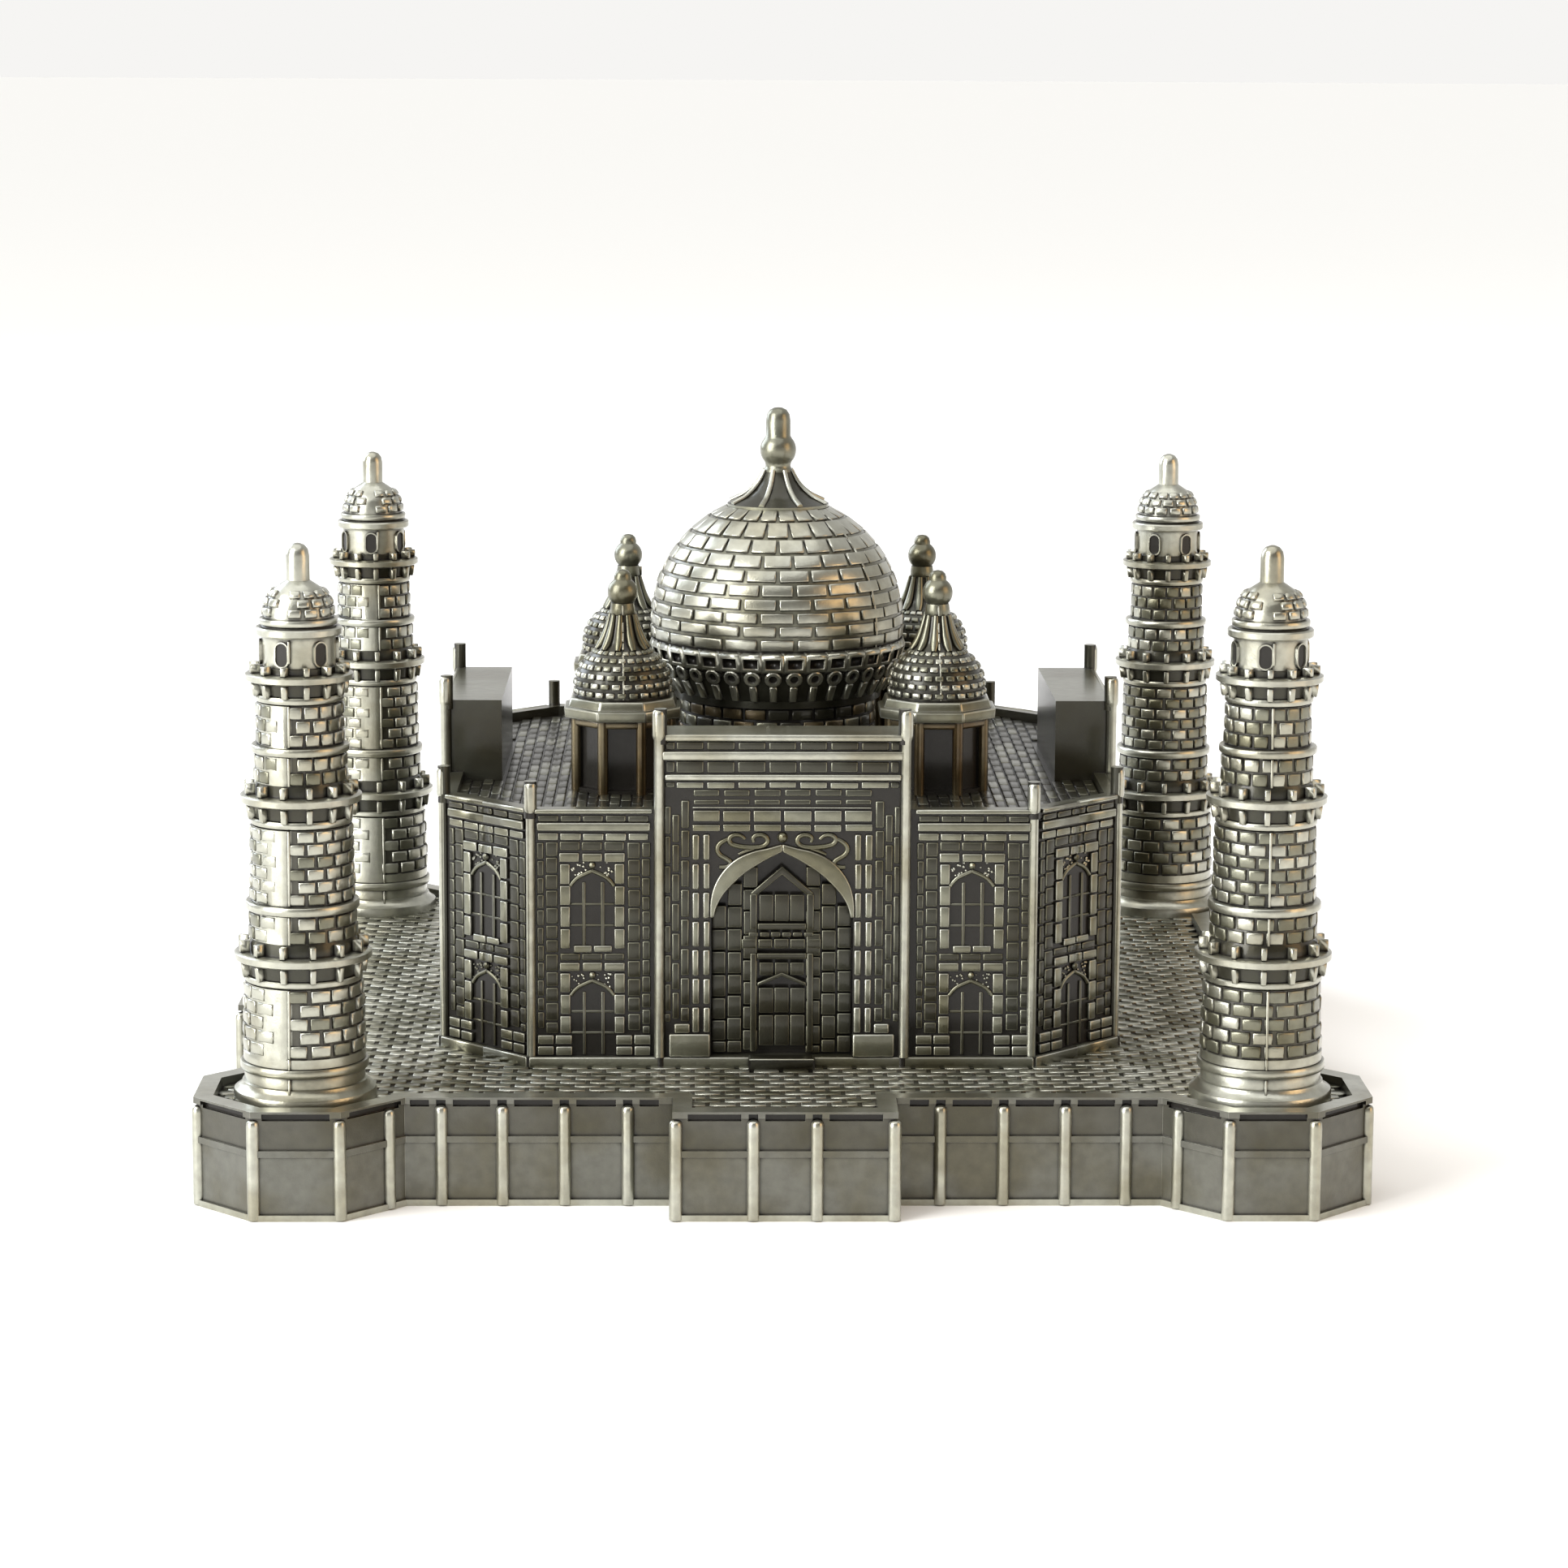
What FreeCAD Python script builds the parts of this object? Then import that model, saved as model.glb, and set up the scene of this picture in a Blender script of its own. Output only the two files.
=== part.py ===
import FreeCAD, Part, Sketcher
import math
import os

# A cast souvenir of a domed garden tomb: a square plinth with eight-sided corner bastions, four
# slender minarets, a tomb of four identical wall castings round a roof plate, four small roof
# pavilions and a large dome with a lotus finial. Screws from below hold the castings together
# and a felt-covered pad closes the hollow underside.
# Millimetres. The origin is the middle of the plinth's underside, +Z up, the front faces -Y.

doc = FreeCAD.newDocument("miniature_landmark")
sheet = doc.addObject("Spreadsheet::Sheet", "dims")

DIMENSIONS = [
    # plinth
    ("minaret_off", 45.0, "minaret axis from the centre, along X and along Y"),
    ("bastion_flat", 9.75, "bastion axis to each of its eight flats"),
    ("wall_off", 49.2, "centre to the straight retaining walls"),
    ("bay_half", 10.1, "half the width of the projecting middle bay"),
    ("bay_off", 54.75, "centre to the face of the middle bay"),
    ("deck_z", 9.3, "height of the paved deck"),
    ("deck_thick", 2.0, "thickness of the deck plate"),
    ("coping_z", 10.4, "height of the coping round the deck"),
    ("coping_wide", 1.5, "width of the coping"),
    ("ledge_z", 6.7, "top of the string course on the retaining walls"),
    ("ledge_tall", 0.6, "height of the string course and of the foot moulding"),
    ("mould_out", 0.3, "how far the mouldings stand proud of the walls"),
    ("rim_wide", 1.8, "width of the rim that the plinth stands on"),
    ("shoulder_wide", 1.6, "width of the shoulder that the pad is stuck to"),
    ("pad_recess", 1.8, "depth of the recess for the pad"),
    ("pad_thick", 1.4, "thickness of the felt-covered pad"),
    ("fit_gap", 0.1, "clearance round a piece that drops into a recess or hole"),
    # tomb walls
    ("face_off", 33.0, "centre to the plane of each facade"),
    ("facade_half", 24.2, "half the width of a facade between its corner posts"),
    ("wall_thick", 2.2, "thickness of a wall casting"),
    ("parapet_thick", 1.2, "thickness of a wall above the ledge that carries the roof"),
    ("parapet_z", 34.8, "top of the walls"),
    ("flange_tall", 1.2, "height of the foot flange"),
    ("flange_out", 0.7, "how far the foot flange stands proud"),
    ("cornice_tall", 0.9, "height of the cornice"),
    ("cornice_out", 0.2, "how far the cornice stands proud"),
    ("portal_half", 11.7, "half the width of a portal"),
    ("portal_out", 0.4, "how far a portal stands proud of its facade"),
    ("portal_z", 42.1, "top of a portal"),
    ("portal_back", 27.9, "centre to the plain back of a portal"),
    ("niche_half", 6.85, "half the width of the portal's arched niche"),
    ("niche_spring", 24.6, "height where the niche's arch springs"),
    ("niche_apex", 30.6, "height of the arch's point"),
    ("niche_round", 4.4, "radius of the arch's shoulders"),
    ("niche_deep", 1.8, "depth of the niche"),
    ("post_rad", 0.45, "radius of the slender posts at portal edges and corners"),
    ("pin_rad", 0.62, "radius of the pins that top the posts"),
    ("portal_pin_z", 44.6, "top of the portal pins"),
    ("corner_pin_z", 37.5, "top of the corner pins"),
    ("step_half", 3.2, "half the width of the door step"),
    ("step_out", 1.9, "how far the door step reaches out from the facade"),
    ("boss_off", 28.4, "centre to the screw boss inside a wall's foot"),
    ("boss_rad", 2.4, "radius of the screw boss"),
    ("boss_tall", 6.0, "height of the screw boss"),
    # roof plate
    ("roof_z", 33.8, "height of the tiled roof"),
    ("roof_thick", 1.5, "thickness of the roof plate"),
    # main dome
    ("drum_rad", 10.1, "radius of the drum"),
    ("collar_z", 41.0, "foot of the collar above the drum"),
    ("dome_foot_z", 41.9, "height where the bulb of the dome starts"),
    ("dome_mid_z", 48.7, "height of the dome's widest line"),
    ("dome_rad", 12.95, "radius of the dome"),
    ("dome_seat_z", 60.4, "flat seat for the finial"),
    ("shell", 1.8, "wall thickness of the dome casting"),
    ("spine_rad", 2.6, "radius of the solid column inside the dome"),
    ("peg_rad", 1.0, "radius of the finial's peg"),
    ("peg_deep", 3.0, "length of the finial's peg"),
    # finial
    ("lotus_rad", 5.2, "radius of the lotus cap"),
    ("lotus_edge", 0.7, "thickness of the cap's edge"),
    ("neck_rad", 1.3, "radius of the neck under the ball"),
    ("neck_z", 64.7, "height of the neck"),
    ("lotus_sweep", 5.2, "radius of the hollow curve from edge to neck"),
    ("ball_rad", 1.85, "radius of the ball"),
    ("ball_z", 66.3, "centre of the ball"),
    ("spike_rad", 1.25, "radius of the blunt spike"),
    ("spike_z", 70.65, "top of the spike"),
    # roof pavilions
    ("kiosk_off", 15.65, "pavilion axis from the centre, along X and along Y"),
    ("kiosk_flat", 4.8, "pavilion axis to each flat of the kiosk"),
    ("kiosk_z", 41.3, "underside of the eave"),
    ("eave_flat", 5.85, "pavilion axis to each flat of the lower eave"),
    ("eave_step_flat", 5.5, "pavilion axis to each flat of the upper eave"),
    ("eave_tall", 1.0, "height of each step of the eave"),
    ("cupola_rad", 5.15, "radius of the small dome"),
    ("cupola_mid_z", 44.6, "height of the small dome's widest line"),
    ("cupola_top_z", 48.7, "height where the small dome meets its lotus"),
    ("cupola_neck_z", 51.4, "height of the neck"),
    ("cupola_neck_rad", 1.2, "radius of the neck"),
    ("cupola_ball_z", 53.6, "centre of the ball"),
    ("cupola_ball_rad", 1.5, "radius of the ball"),
    ("cupola_spike_rad", 0.85, "radius of the spike"),
    ("cupola_spike_z", 55.85, "top of the spike"),
    ("tenon_rad", 1.5, "radius of the tenon that is staked into the roof"),
    # minarets, from the foot up
    ("foot_rad", 6.7, "radius of the foot disc"),
    ("foot_z", 10.7, "top of the foot disc"),
    ("plinth_drum_rad", 5.6, "radius of the drum on the foot"),
    ("belt_rad", 6.0, "radius of the belt above that drum"),
    ("belt_z", 12.4, "underside of that belt"),
    ("low_z", 13.4, "foot of the lower shaft"),
    ("low_rad", 5.74, "radius of the lower shaft at its foot"),
    ("low_top_rad", 5.47, "radius of the lower shaft at its top"),
    ("low_gallery_z", 20.8, "foot of the lower gallery"),
    ("low_gallery_rad", 6.44, "radius of the lower gallery's ring"),
    ("mid_z", 24.8, "top of the lower gallery's parapet"),
    ("mid_rad", 4.95, "radius of the middle shaft at its foot"),
    ("mid_top_rad", 4.73, "radius of the middle shaft at its top"),
    ("mid_gallery_z", 35.6, "foot of the middle gallery"),
    ("mid_gallery_rad", 5.65, "radius of the middle gallery's ring"),
    ("high_z", 39.5, "top of the middle gallery's parapet"),
    ("high_rad", 4.25, "radius of the upper shaft at its foot"),
    ("high_top_rad", 4.0, "radius of the upper shaft at its top"),
    ("high_gallery_z", 47.1, "foot of the upper gallery"),
    ("high_gallery_rad", 5.0, "radius of the upper gallery's ring"),
    ("lantern_z", 50.5, "top of the upper gallery's parapet"),
    ("lantern_rad", 3.46, "radius of the lantern"),
    ("canopy_z", 53.1, "underside of the lantern's eave"),
    ("canopy_rad", 4.02, "radius of the lantern's eave"),
    ("cap_z", 55.0, "foot of the lantern's dome"),
    ("cap_rad", 3.3, "radius of the lantern's dome"),
    ("cap_top_z", 58.2, "height where the dome meets its spike"),
    ("tip_rad", 1.05, "radius of the spike"),
    ("tip_z", 61.8, "top of the spike"),
    ("gallery_flare", 2.1, "height from a gallery's foot to its ring"),
    ("gallery_ring", 0.8, "height of a gallery's ring"),
    ("spigot_rad", 2.5, "radius of the spigot in the bastion"),
    # screws
    ("screw_rad", 1.1, "radius of a screw's shank"),
    ("pilot_rad", 1.15, "radius of the hole that a screw cuts its thread in"),
    ("screw_hole_rad", 1.4, "radius of the clearance hole in a plate"),
    ("screw_long", 6.7, "length of a shank under its head"),
    ("head_rad", 2.3, "radius of a screw head"),
    ("wide_head_rad", 3.4, "radius of the washer head under a minaret"),
    ("head_tall", 1.5, "height of a screw head"),
]
for row, (alias, size, meaning) in enumerate(DIMENSIONS, 1):
    sheet.set(f"A{row}", meaning)
    sheet.set(f"B{row}", str(size))
    sheet.setAlias(f"B{row}", alias)
doc.recompute()

QUARTERS = {"front": 0, "right": 90, "rear": 180, "left": 270}
CORNERS = {
    "front_left": (-1, -1),
    "front_right": (1, -1),
    "rear_right": (1, 1),
    "rear_left": (-1, 1),
}


def sheet_text(text):
    """A formula with the sheet's name put before each of its dimensions."""
    formula, word = "", ""
    for mark in text + " ":
        if mark.isalpha() or mark == "_":
            word += mark
            continue
        if word:
            formula += word if word in ("sqrt", "cos", "deg") else "dims." + word
            word = ""
        formula += mark
    return formula.strip()


def value(text):
    """What a formula in the sheet's dimensions comes to now."""
    return float(sheet.evalExpression(sheet_text(text)))


def bind(thing, field, text):
    """Tie one field of an object to a formula in the sheet's dimensions."""
    thing.setExpression(field, sheet_text(text))


# ---- primitives and booleans ---------------------------------------------------------------

def block(name, x_low, x_high, y_low, y_high, z_low, z_high):
    """A box between two corners."""
    box = doc.addObject("Part::Box", name)
    spans = (("Length", "x", x_low, x_high), ("Width", "y", y_low, y_high),
             ("Height", "z", z_low, z_high))
    for field, axis, low, high in spans:
        bind(box, field, f"({high}) - ({low})")
        bind(box, f"Placement.Base.{axis}", low)
    return box


def upright(kind, name, x, y, z_low, z_high, turn=0.0):
    """A cylinder or a prism that stands on z_low, turned about its own axis."""
    solid = doc.addObject(kind, name)
    solid.Placement.Rotation = FreeCAD.Rotation(FreeCAD.Vector(0, 0, 1), turn)
    bind(solid, "Height", f"({z_high}) - ({z_low})")
    for axis, place in (("x", x), ("y", y), ("z", z_low)):
        bind(solid, f"Placement.Base.{axis}", place)
    return solid


def rod(name, x, y, radius, z_low, z_high):
    """A round upright."""
    solid = upright("Part::Cylinder", name, x, y, z_low, z_high)
    bind(solid, "Radius", radius)
    return solid


def octagon(name, x, y, flat, z_low, z_high):
    """An eight-sided upright with flats that face the walls; flat is its inner radius."""
    solid = upright("Part::Prism", name, x, y, z_low, z_high, turn=22.5)
    solid.Polygon = 8
    bind(solid, "Circumradius", f"({flat}) / cos(22.5 deg)")
    return solid


def fused(name, pieces):
    """Several solids made one."""
    union = doc.addObject("Part::MultiFuse", name)
    union.Shapes = pieces
    union.Refine = True
    return union


def cut(name, base, tool):
    """One solid with another taken away."""
    result = doc.addObject("Part::Cut", name)
    result.Base = base
    result.Tool = tool
    result.Refine = True
    return result


# ---- bodies and their sketches -------------------------------------------------------------

def new_body(name):
    """A body labelled as the sub-part it becomes."""
    body = doc.addObject("PartDesign::Body", name)
    body.Label = name
    return body


def arc_through(start, end, radius, side):
    """The shorter arc of this radius from start to end; side 1 bulges to the right of the way."""
    chord = end - start
    right = FreeCAD.Vector(chord.y, -chord.x, 0).normalize()
    rise = math.sqrt(radius ** 2 - (chord.Length / 2) ** 2)
    middle = (start + end) / 2
    centre = middle - right * rise * side
    crown = centre + right * radius * side
    return Part.Arc(start, crown, end), centre


def empty_sketch(body, name, plane, offset):
    """A sketch on one of the body's own planes, moved along that plane's normal."""
    sketch = body.newObject("Sketcher::SketchObject", name)
    support = [feature for feature in body.Origin.OriginFeatures if feature.Role == plane]
    sketch.AttachmentSupport = [(support[0], "")]
    sketch.MapMode = "FlatFace"
    bind(sketch, "AttachmentOffset.Base.z", offset)
    return sketch


def pin_point(sketch, edge, end, x, y):
    """Tie one point of a sketch to a place given as two formulas."""
    for kind, text, axis in (("DistanceX", x, -2), ("DistanceY", y, -1)):
        place = value(text)
        if abs(place) < 1e-9:
            sketch.addConstraint(Sketcher.Constraint("PointOnObject", edge, end, axis))
            continue
        index = sketch.addConstraint(Sketcher.Constraint(kind, -1, 1, edge, end, place))
        bind(sketch, f"Constraints[{index}]", text)


def set_radius(sketch, edge, radius):
    """Tie the radius of one arc or circle of a sketch to a formula."""
    index = sketch.addConstraint(Sketcher.Constraint("Radius", edge, value(radius)))
    bind(sketch, f"Constraints[{index}]", radius)


def circle(body, name, x, y, radius, offset):
    """A sketch of one circle, seen from above."""
    sketch = empty_sketch(body, name, "XY_Plane", offset)
    centre = FreeCAD.Vector(value(x), value(y), 0)
    sketch.addGeometry(Part.Circle(centre, FreeCAD.Vector(0, 0, 1), value(radius)), False)
    pin_point(sketch, 0, 3, x, y)
    set_radius(sketch, 0, radius)
    return sketch


def outline(body, name, plane, steps, offset="0"):
    """A sketch of one closed outline.

    Each step is a corner, as two formulas, and the edge that leaves it: a straight one, or with
    a third formula and a side an arc of that radius. Every corner is tied to the sheet.
    """
    sketch = empty_sketch(body, name, plane, offset)
    corners = [FreeCAD.Vector(value(step[0]), value(step[1]), 0) for step in steps]
    ends = []
    for number, step in enumerate(steps):
        start, end = corners[number], corners[(number + 1) % len(steps)]
        if len(step) == 2:
            sketch.addGeometry(Part.LineSegment(start, end), False)
            ends.append((1, 2))
            continue
        arc, centre = arc_through(start, end, value(step[2]), step[3])
        sketch.addGeometry(arc, False)
        # a sketch stores an arc anticlockwise, so a clockwise one has its start at its end
        clockwise = (start - centre).cross(end - centre).z < 0
        ends.append((2, 1) if clockwise else (1, 2))
    for number, step in enumerate(steps):
        following = (number + 1) % len(steps)
        sketch.addConstraint(Sketcher.Constraint(
            "Coincident", number, ends[number][1], following, ends[following][0]))
        pin_point(sketch, number, ends[number][0], step[0], step[1])
        if len(step) == 4:
            set_radius(sketch, number, step[2])
    return sketch


def raised(body, name, sketch, z_low, z_high):
    """A sketch raised from z_low to z_high."""
    feature = body.newObject("PartDesign::Pad", name)
    feature.Profile = sketch
    bind(feature, "Length", f"({z_high}) - ({z_low})")
    return feature


def pad(body, name, steps, z_low, z_high):
    """An outline seen from above, raised from z_low to z_high."""
    sketch = outline(body, name + "_outline", "XY_Plane", steps, z_low)
    return raised(body, name, sketch, z_low, z_high)


def post(body, name, x, y, radius, z_low, z_high):
    """A round upright on a body."""
    sketch = circle(body, name + "_circle", x, y, radius, z_low)
    return raised(body, name, sketch, z_low, z_high)


def pocket(body, name, sketch, depth):
    """A sketch cut into the body, with a check that it did cut."""
    doc.recompute()
    before = body.Shape.Volume
    feature = body.newObject("PartDesign::Pocket", name)
    feature.Profile = sketch
    bind(feature, "Length", depth)
    doc.recompute()
    if body.Shape.Volume >= before:
        feature.Reversed = True
        doc.recompute()
    if body.Shape.Volume >= before:
        raise RuntimeError(f"{name} cuts nothing")
    return feature


def turned(name, steps):
    """A body turned about Z from half its section, given as radius and height."""
    body = new_body(name)
    feature = body.newObject("PartDesign::Revolution", name + "_turned")
    sketch = outline(body, name + "_section", "XZ_Plane", steps)
    feature.Profile = sketch
    feature.ReferenceAxis = (sketch, ["V_Axis"])
    feature.Angle = 360
    return body


# ---- plinth --------------------------------------------------------------------------------

def plinth_layer(name, grow, z_low, z_high):
    """The plinth's plan between two heights, grown outwards or inwards by a distance."""
    wall = f"wall_off + {grow}"
    bay = f"bay_off + {grow}"
    half = f"bay_half + {grow}"
    pieces = [
        block(name + "_square", f"-({wall})", wall, f"-({wall})", wall, z_low, z_high),
        block(name + "_bays_x", f"-({bay})", bay, f"-({half})", half, z_low, z_high),
        block(name + "_bays_y", f"-({half})", half, f"-({bay})", bay, z_low, z_high),
    ]
    for corner, (x, y) in CORNERS.items():
        pieces.append(octagon(f"{name}_{corner}", f"{x} * minaret_off", f"{y} * minaret_off",
                              f"bastion_flat + {grow}", z_low, z_high))
    return fused(name, pieces)


def make_plinth():
    """The plinth casting: moulded walls, sunk deck, hollow underside and screw holes."""
    walls = fused("plinth_outside", [
        plinth_layer("plinth_walls", "0", "0", "coping_z"),
        plinth_layer("plinth_foot", "mould_out", "0", "ledge_tall"),
        plinth_layer("plinth_ledge", "mould_out", "ledge_z - ledge_tall", "ledge_z"),
        plinth_layer("plinth_coping", "mould_out", "coping_z - ledge_tall", "coping_z"),
    ])
    voids = [
        plinth_layer("deck_sink", "(0 - coping_wide)", "deck_z", "coping_z + 1"),
        plinth_layer("pad_sink", "(0 - rim_wide)", "0 - 1", "pad_recess"),
        plinth_layer("underside", "(0 - rim_wide - shoulder_wide)", "0", "deck_z - deck_thick"),
    ]
    for corner, (x, y) in CORNERS.items():
        voids.append(rod(f"bastion_hole_{corner}", f"{x} * minaret_off", f"{y} * minaret_off",
                         "spigot_rad + fit_gap", "0", "coping_z"))
    for side, (x, y) in zip(QUARTERS, ((0, -1), (1, 0), (0, 1), (-1, 0))):
        voids.append(rod(f"deck_hole_{side}", f"{x} * boss_off", f"{y} * boss_off",
                         "screw_hole_rad", "0", "coping_z"))
    plinth = cut("plinth_casting", walls, fused("plinth_voids", voids))
    plinth.Label = "plinth"
    return plinth


def make_felt_pad():
    """The felt-covered card that closes the underside, stuck to the shoulder in the plinth."""
    pad_plan = plinth_layer("felt_pad_card", "(0 - rim_wide - fit_gap)",
                            "pad_recess - pad_thick", "pad_recess")
    pad_plan.Label = "felt_pad"
    return pad_plan


# ---- tomb walls ----------------------------------------------------------------------------

def wall_plan(grow, thick):
    """Plan of one wall casting, from mid-corner to mid-corner, grown by a distance.

    The plan of the tomb is a square with its corners cut at 45 degrees. Each casting is a
    facade with half of the cut corner at each end, so that its joints lie on the diagonals.
    """
    slant = "(sqrt(2) - 1)"
    face_out, face_in = f"(face_off + {grow})", f"(face_off - {thick})"
    end_out = f"(facade_half + {slant} * {grow})"
    end_in = f"(facade_half - {slant} * {thick})"
    joint_out = f"((facade_half + face_off + sqrt(2) * {grow}) / 2)"
    joint_in = f"((facade_half + face_off - sqrt(2) * {thick}) / 2)"
    return [
        (f"0 - {joint_out}", f"0 - {joint_out}"),
        (f"0 - {end_out}", f"0 - {face_out}"),
        (end_out, f"0 - {face_out}"),
        (joint_out, f"0 - {joint_out}"),
        (joint_in, f"0 - {joint_in}"),
        (end_in, f"0 - {face_in}"),
        (f"0 - {end_in}", f"0 - {face_in}"),
        (f"0 - {joint_in}", f"0 - {joint_in}"),
    ]


def rectangle(x_half, y_low, y_high):
    """Corners of a rectangle that is centred across X."""
    return [(f"0 - {x_half}", y_low), (x_half, y_low), (x_half, y_high),
            (f"0 - {x_half}", y_high)]


def make_wall(side, turn):
    """One wall casting: facade, half corners, portal, posts and pins, step and screw boss."""
    name = "wall_" + side
    body = new_body(name)
    ledge_z = "roof_z - roof_thick"
    front = "(face_off + portal_out)"
    pad(body, name + "_lower", wall_plan("0", "wall_thick"), "deck_z", ledge_z)
    pad(body, name + "_parapet", wall_plan("0", "parapet_thick"), ledge_z, "parapet_z")
    pad(body, name + "_flange", wall_plan("flange_out", "wall_thick"), "deck_z",
        "deck_z + flange_tall")
    pad(body, name + "_cornice", wall_plan("cornice_out", "parapet_thick"),
        "parapet_z - cornice_tall", "parapet_z")
    pad(body, name + "_portal", rectangle("portal_half", f"0 - {front}",
                                          "0 - (face_off - wall_thick - 1)"),
        "deck_z", ledge_z)
    pad(body, name + "_portal_foot", rectangle("portal_half", f"0 - {front}",
                                               "0 - (face_off - parapet_thick)"),
        ledge_z, "roof_z")
    pad(body, name + "_portal_head", rectangle("portal_half", f"0 - {front}",
                                               "0 - portal_back"), "roof_z", "portal_z")
    pad(body, name + "_step", rectangle("step_half", "0 - (face_off + step_out)",
                                        "0 - face_off"), "deck_z", "deck_z + flange_tall")
    pad(body, name + "_boss", rectangle("boss_rad", "0 - (face_off - wall_thick)",
                                        "0 - (boss_off - boss_rad)"),
        "deck_z", "deck_z + boss_tall")
    for hand, sign in (("left", "0 -"), ("right", "0 +")):
        edge = f"{sign} portal_half"
        corner = f"{sign} facade_half"
        post(body, f"{name}_portal_post_{hand}", edge, f"0 - {front}", "post_rad",
             "deck_z", "portal_z")
        post(body, f"{name}_corner_post_{hand}", corner, "0 - face_off", "post_rad",
             "deck_z", "parapet_z")
        post(body, f"{name}_corner_pin_{hand}", corner, "0 - face_off", "pin_rad",
             "parapet_z - cornice_tall", "corner_pin_z")
        post(body, f"{name}_portal_pin_{hand}", edge, f"0 - {front}", "pin_rad",
             "portal_z - cornice_tall", "portal_pin_z")
    # the shoulder of the arch is a quarter-like round from the jamb, then a straight run to
    # the point, which leaves the round where the round has turned by sixty degrees
    turn_in, turn_up = "(niche_round * (1 - cos(60 deg)))", "(niche_round * cos(30 deg))"
    arch = [
        ("0 - niche_half", "deck_z + flange_tall"),
        ("niche_half", "deck_z + flange_tall"),
        ("niche_half", "niche_spring", "niche_round", 1),
        (f"niche_half - {turn_in}", f"niche_spring + {turn_up}"),
        ("0", "niche_apex"),
        (f"{turn_in} - niche_half", f"niche_spring + {turn_up}", "niche_round", 1),
        ("0 - niche_half", "niche_spring"),
    ]
    niche = outline(body, name + "_arch", "XZ_Plane", arch, front)
    pocket(body, name + "_niche", niche, "niche_deep")
    pilot = circle(body, name + "_pilot_circle", "0", "0 - boss_off", "pilot_rad", "deck_z")
    pocket(body, name + "_pilot", pilot, "boss_tall - 1")
    body.Placement = FreeCAD.Placement(
        FreeCAD.Vector(), FreeCAD.Rotation(FreeCAD.Vector(0, 0, 1), turn))
    return body


def make_roof():
    """The roof plate that locks the four walls together, with holes for what stands on it."""
    body = new_body("roof_deck")
    face = "(face_off - parapet_thick - fit_gap)"
    end = "(facade_half - (sqrt(2) - 1) * (parapet_thick + fit_gap))"
    corners = [(end, f"0 - {face}"), (face, f"0 - {end}"), (face, end), (end, face),
               (f"0 - {end}", face), (f"0 - {face}", end), (f"0 - {face}", f"0 - {end}"),
               (f"0 - {end}", f"0 - {face}")]
    pad(body, "roof_plate", corners, "roof_z - roof_thick", "roof_z")
    places = {"screw": ("0", "0", "screw_hole_rad")}
    for corner, (x, y) in CORNERS.items():
        places[corner] = (f"{x} * kiosk_off", f"{y} * kiosk_off", "(tenon_rad + fit_gap)")
    for hole, (x, y, radius) in places.items():
        ring = circle(body, f"roof_circle_{hole}", x, y, radius, "roof_z")
        pocket(body, f"roof_hole_{hole}", ring, "roof_thick")
    return body


# ---- domes ---------------------------------------------------------------------------------

def make_main_dome():
    """Drum and dome in one shell, with a column down the middle that the roof screw enters."""
    foot_rad = "sqrt(dome_rad * dome_rad - (dome_mid_z - dome_foot_z) * (dome_mid_z - dome_foot_z))"
    seat_rad = "sqrt(dome_rad * dome_rad - (dome_seat_z - dome_mid_z) * (dome_seat_z - dome_mid_z))"
    inner = "(dome_rad - shell)"
    rise = "(dome_mid_z - dome_foot_z)"
    inner_foot_rad = f"sqrt({inner} * {inner} - {rise} * {rise})"
    inner_top_z = f"(dome_mid_z + sqrt({inner} * {inner} - spine_rad * spine_rad))"
    section = [
        ("pilot_rad", "roof_z"),
        ("spine_rad", "roof_z"),
        ("spine_rad", inner_top_z, inner, -1),
        (inner_foot_rad, "dome_foot_z"),
        ("drum_rad - shell", "collar_z"),
        ("drum_rad - shell", "roof_z"),
        ("drum_rad", "roof_z"),
        ("drum_rad", "collar_z"),
        (foot_rad, "collar_z"),
        (foot_rad, "dome_foot_z", "dome_rad", 1),
        (seat_rad, "dome_seat_z"),
        ("peg_rad + fit_gap", "dome_seat_z"),
        ("peg_rad + fit_gap", "dome_seat_z - peg_deep - fit_gap"),
        ("0", "dome_seat_z - peg_deep - fit_gap"),
        ("0", "roof_z + screw_long"),
        ("pilot_rad", "roof_z + screw_long"),
    ]
    return turned("main_dome", section)


def make_finial():
    """Lotus cap, ball and spike, with a peg pressed into the top of the dome."""
    ball_cut = "sqrt(ball_rad * ball_rad - neck_rad * neck_rad)"
    spike_cut = "sqrt(ball_rad * ball_rad - spike_rad * spike_rad)"
    section = [
        ("0", "dome_seat_z - peg_deep"),
        ("peg_rad", "dome_seat_z - peg_deep"),
        ("peg_rad", "dome_seat_z"),
        ("lotus_rad", "dome_seat_z"),
        ("lotus_rad", "dome_seat_z + lotus_edge", "lotus_sweep", -1),
        ("neck_rad", "neck_z"),
        ("neck_rad", f"ball_z - {ball_cut}", "ball_rad", 1),
        ("spike_rad", f"ball_z + {spike_cut}"),
        ("spike_rad", "spike_z - spike_rad", "spike_rad", 1),
        ("0", "spike_z"),
    ]
    return turned("dome_finial", section)


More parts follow.
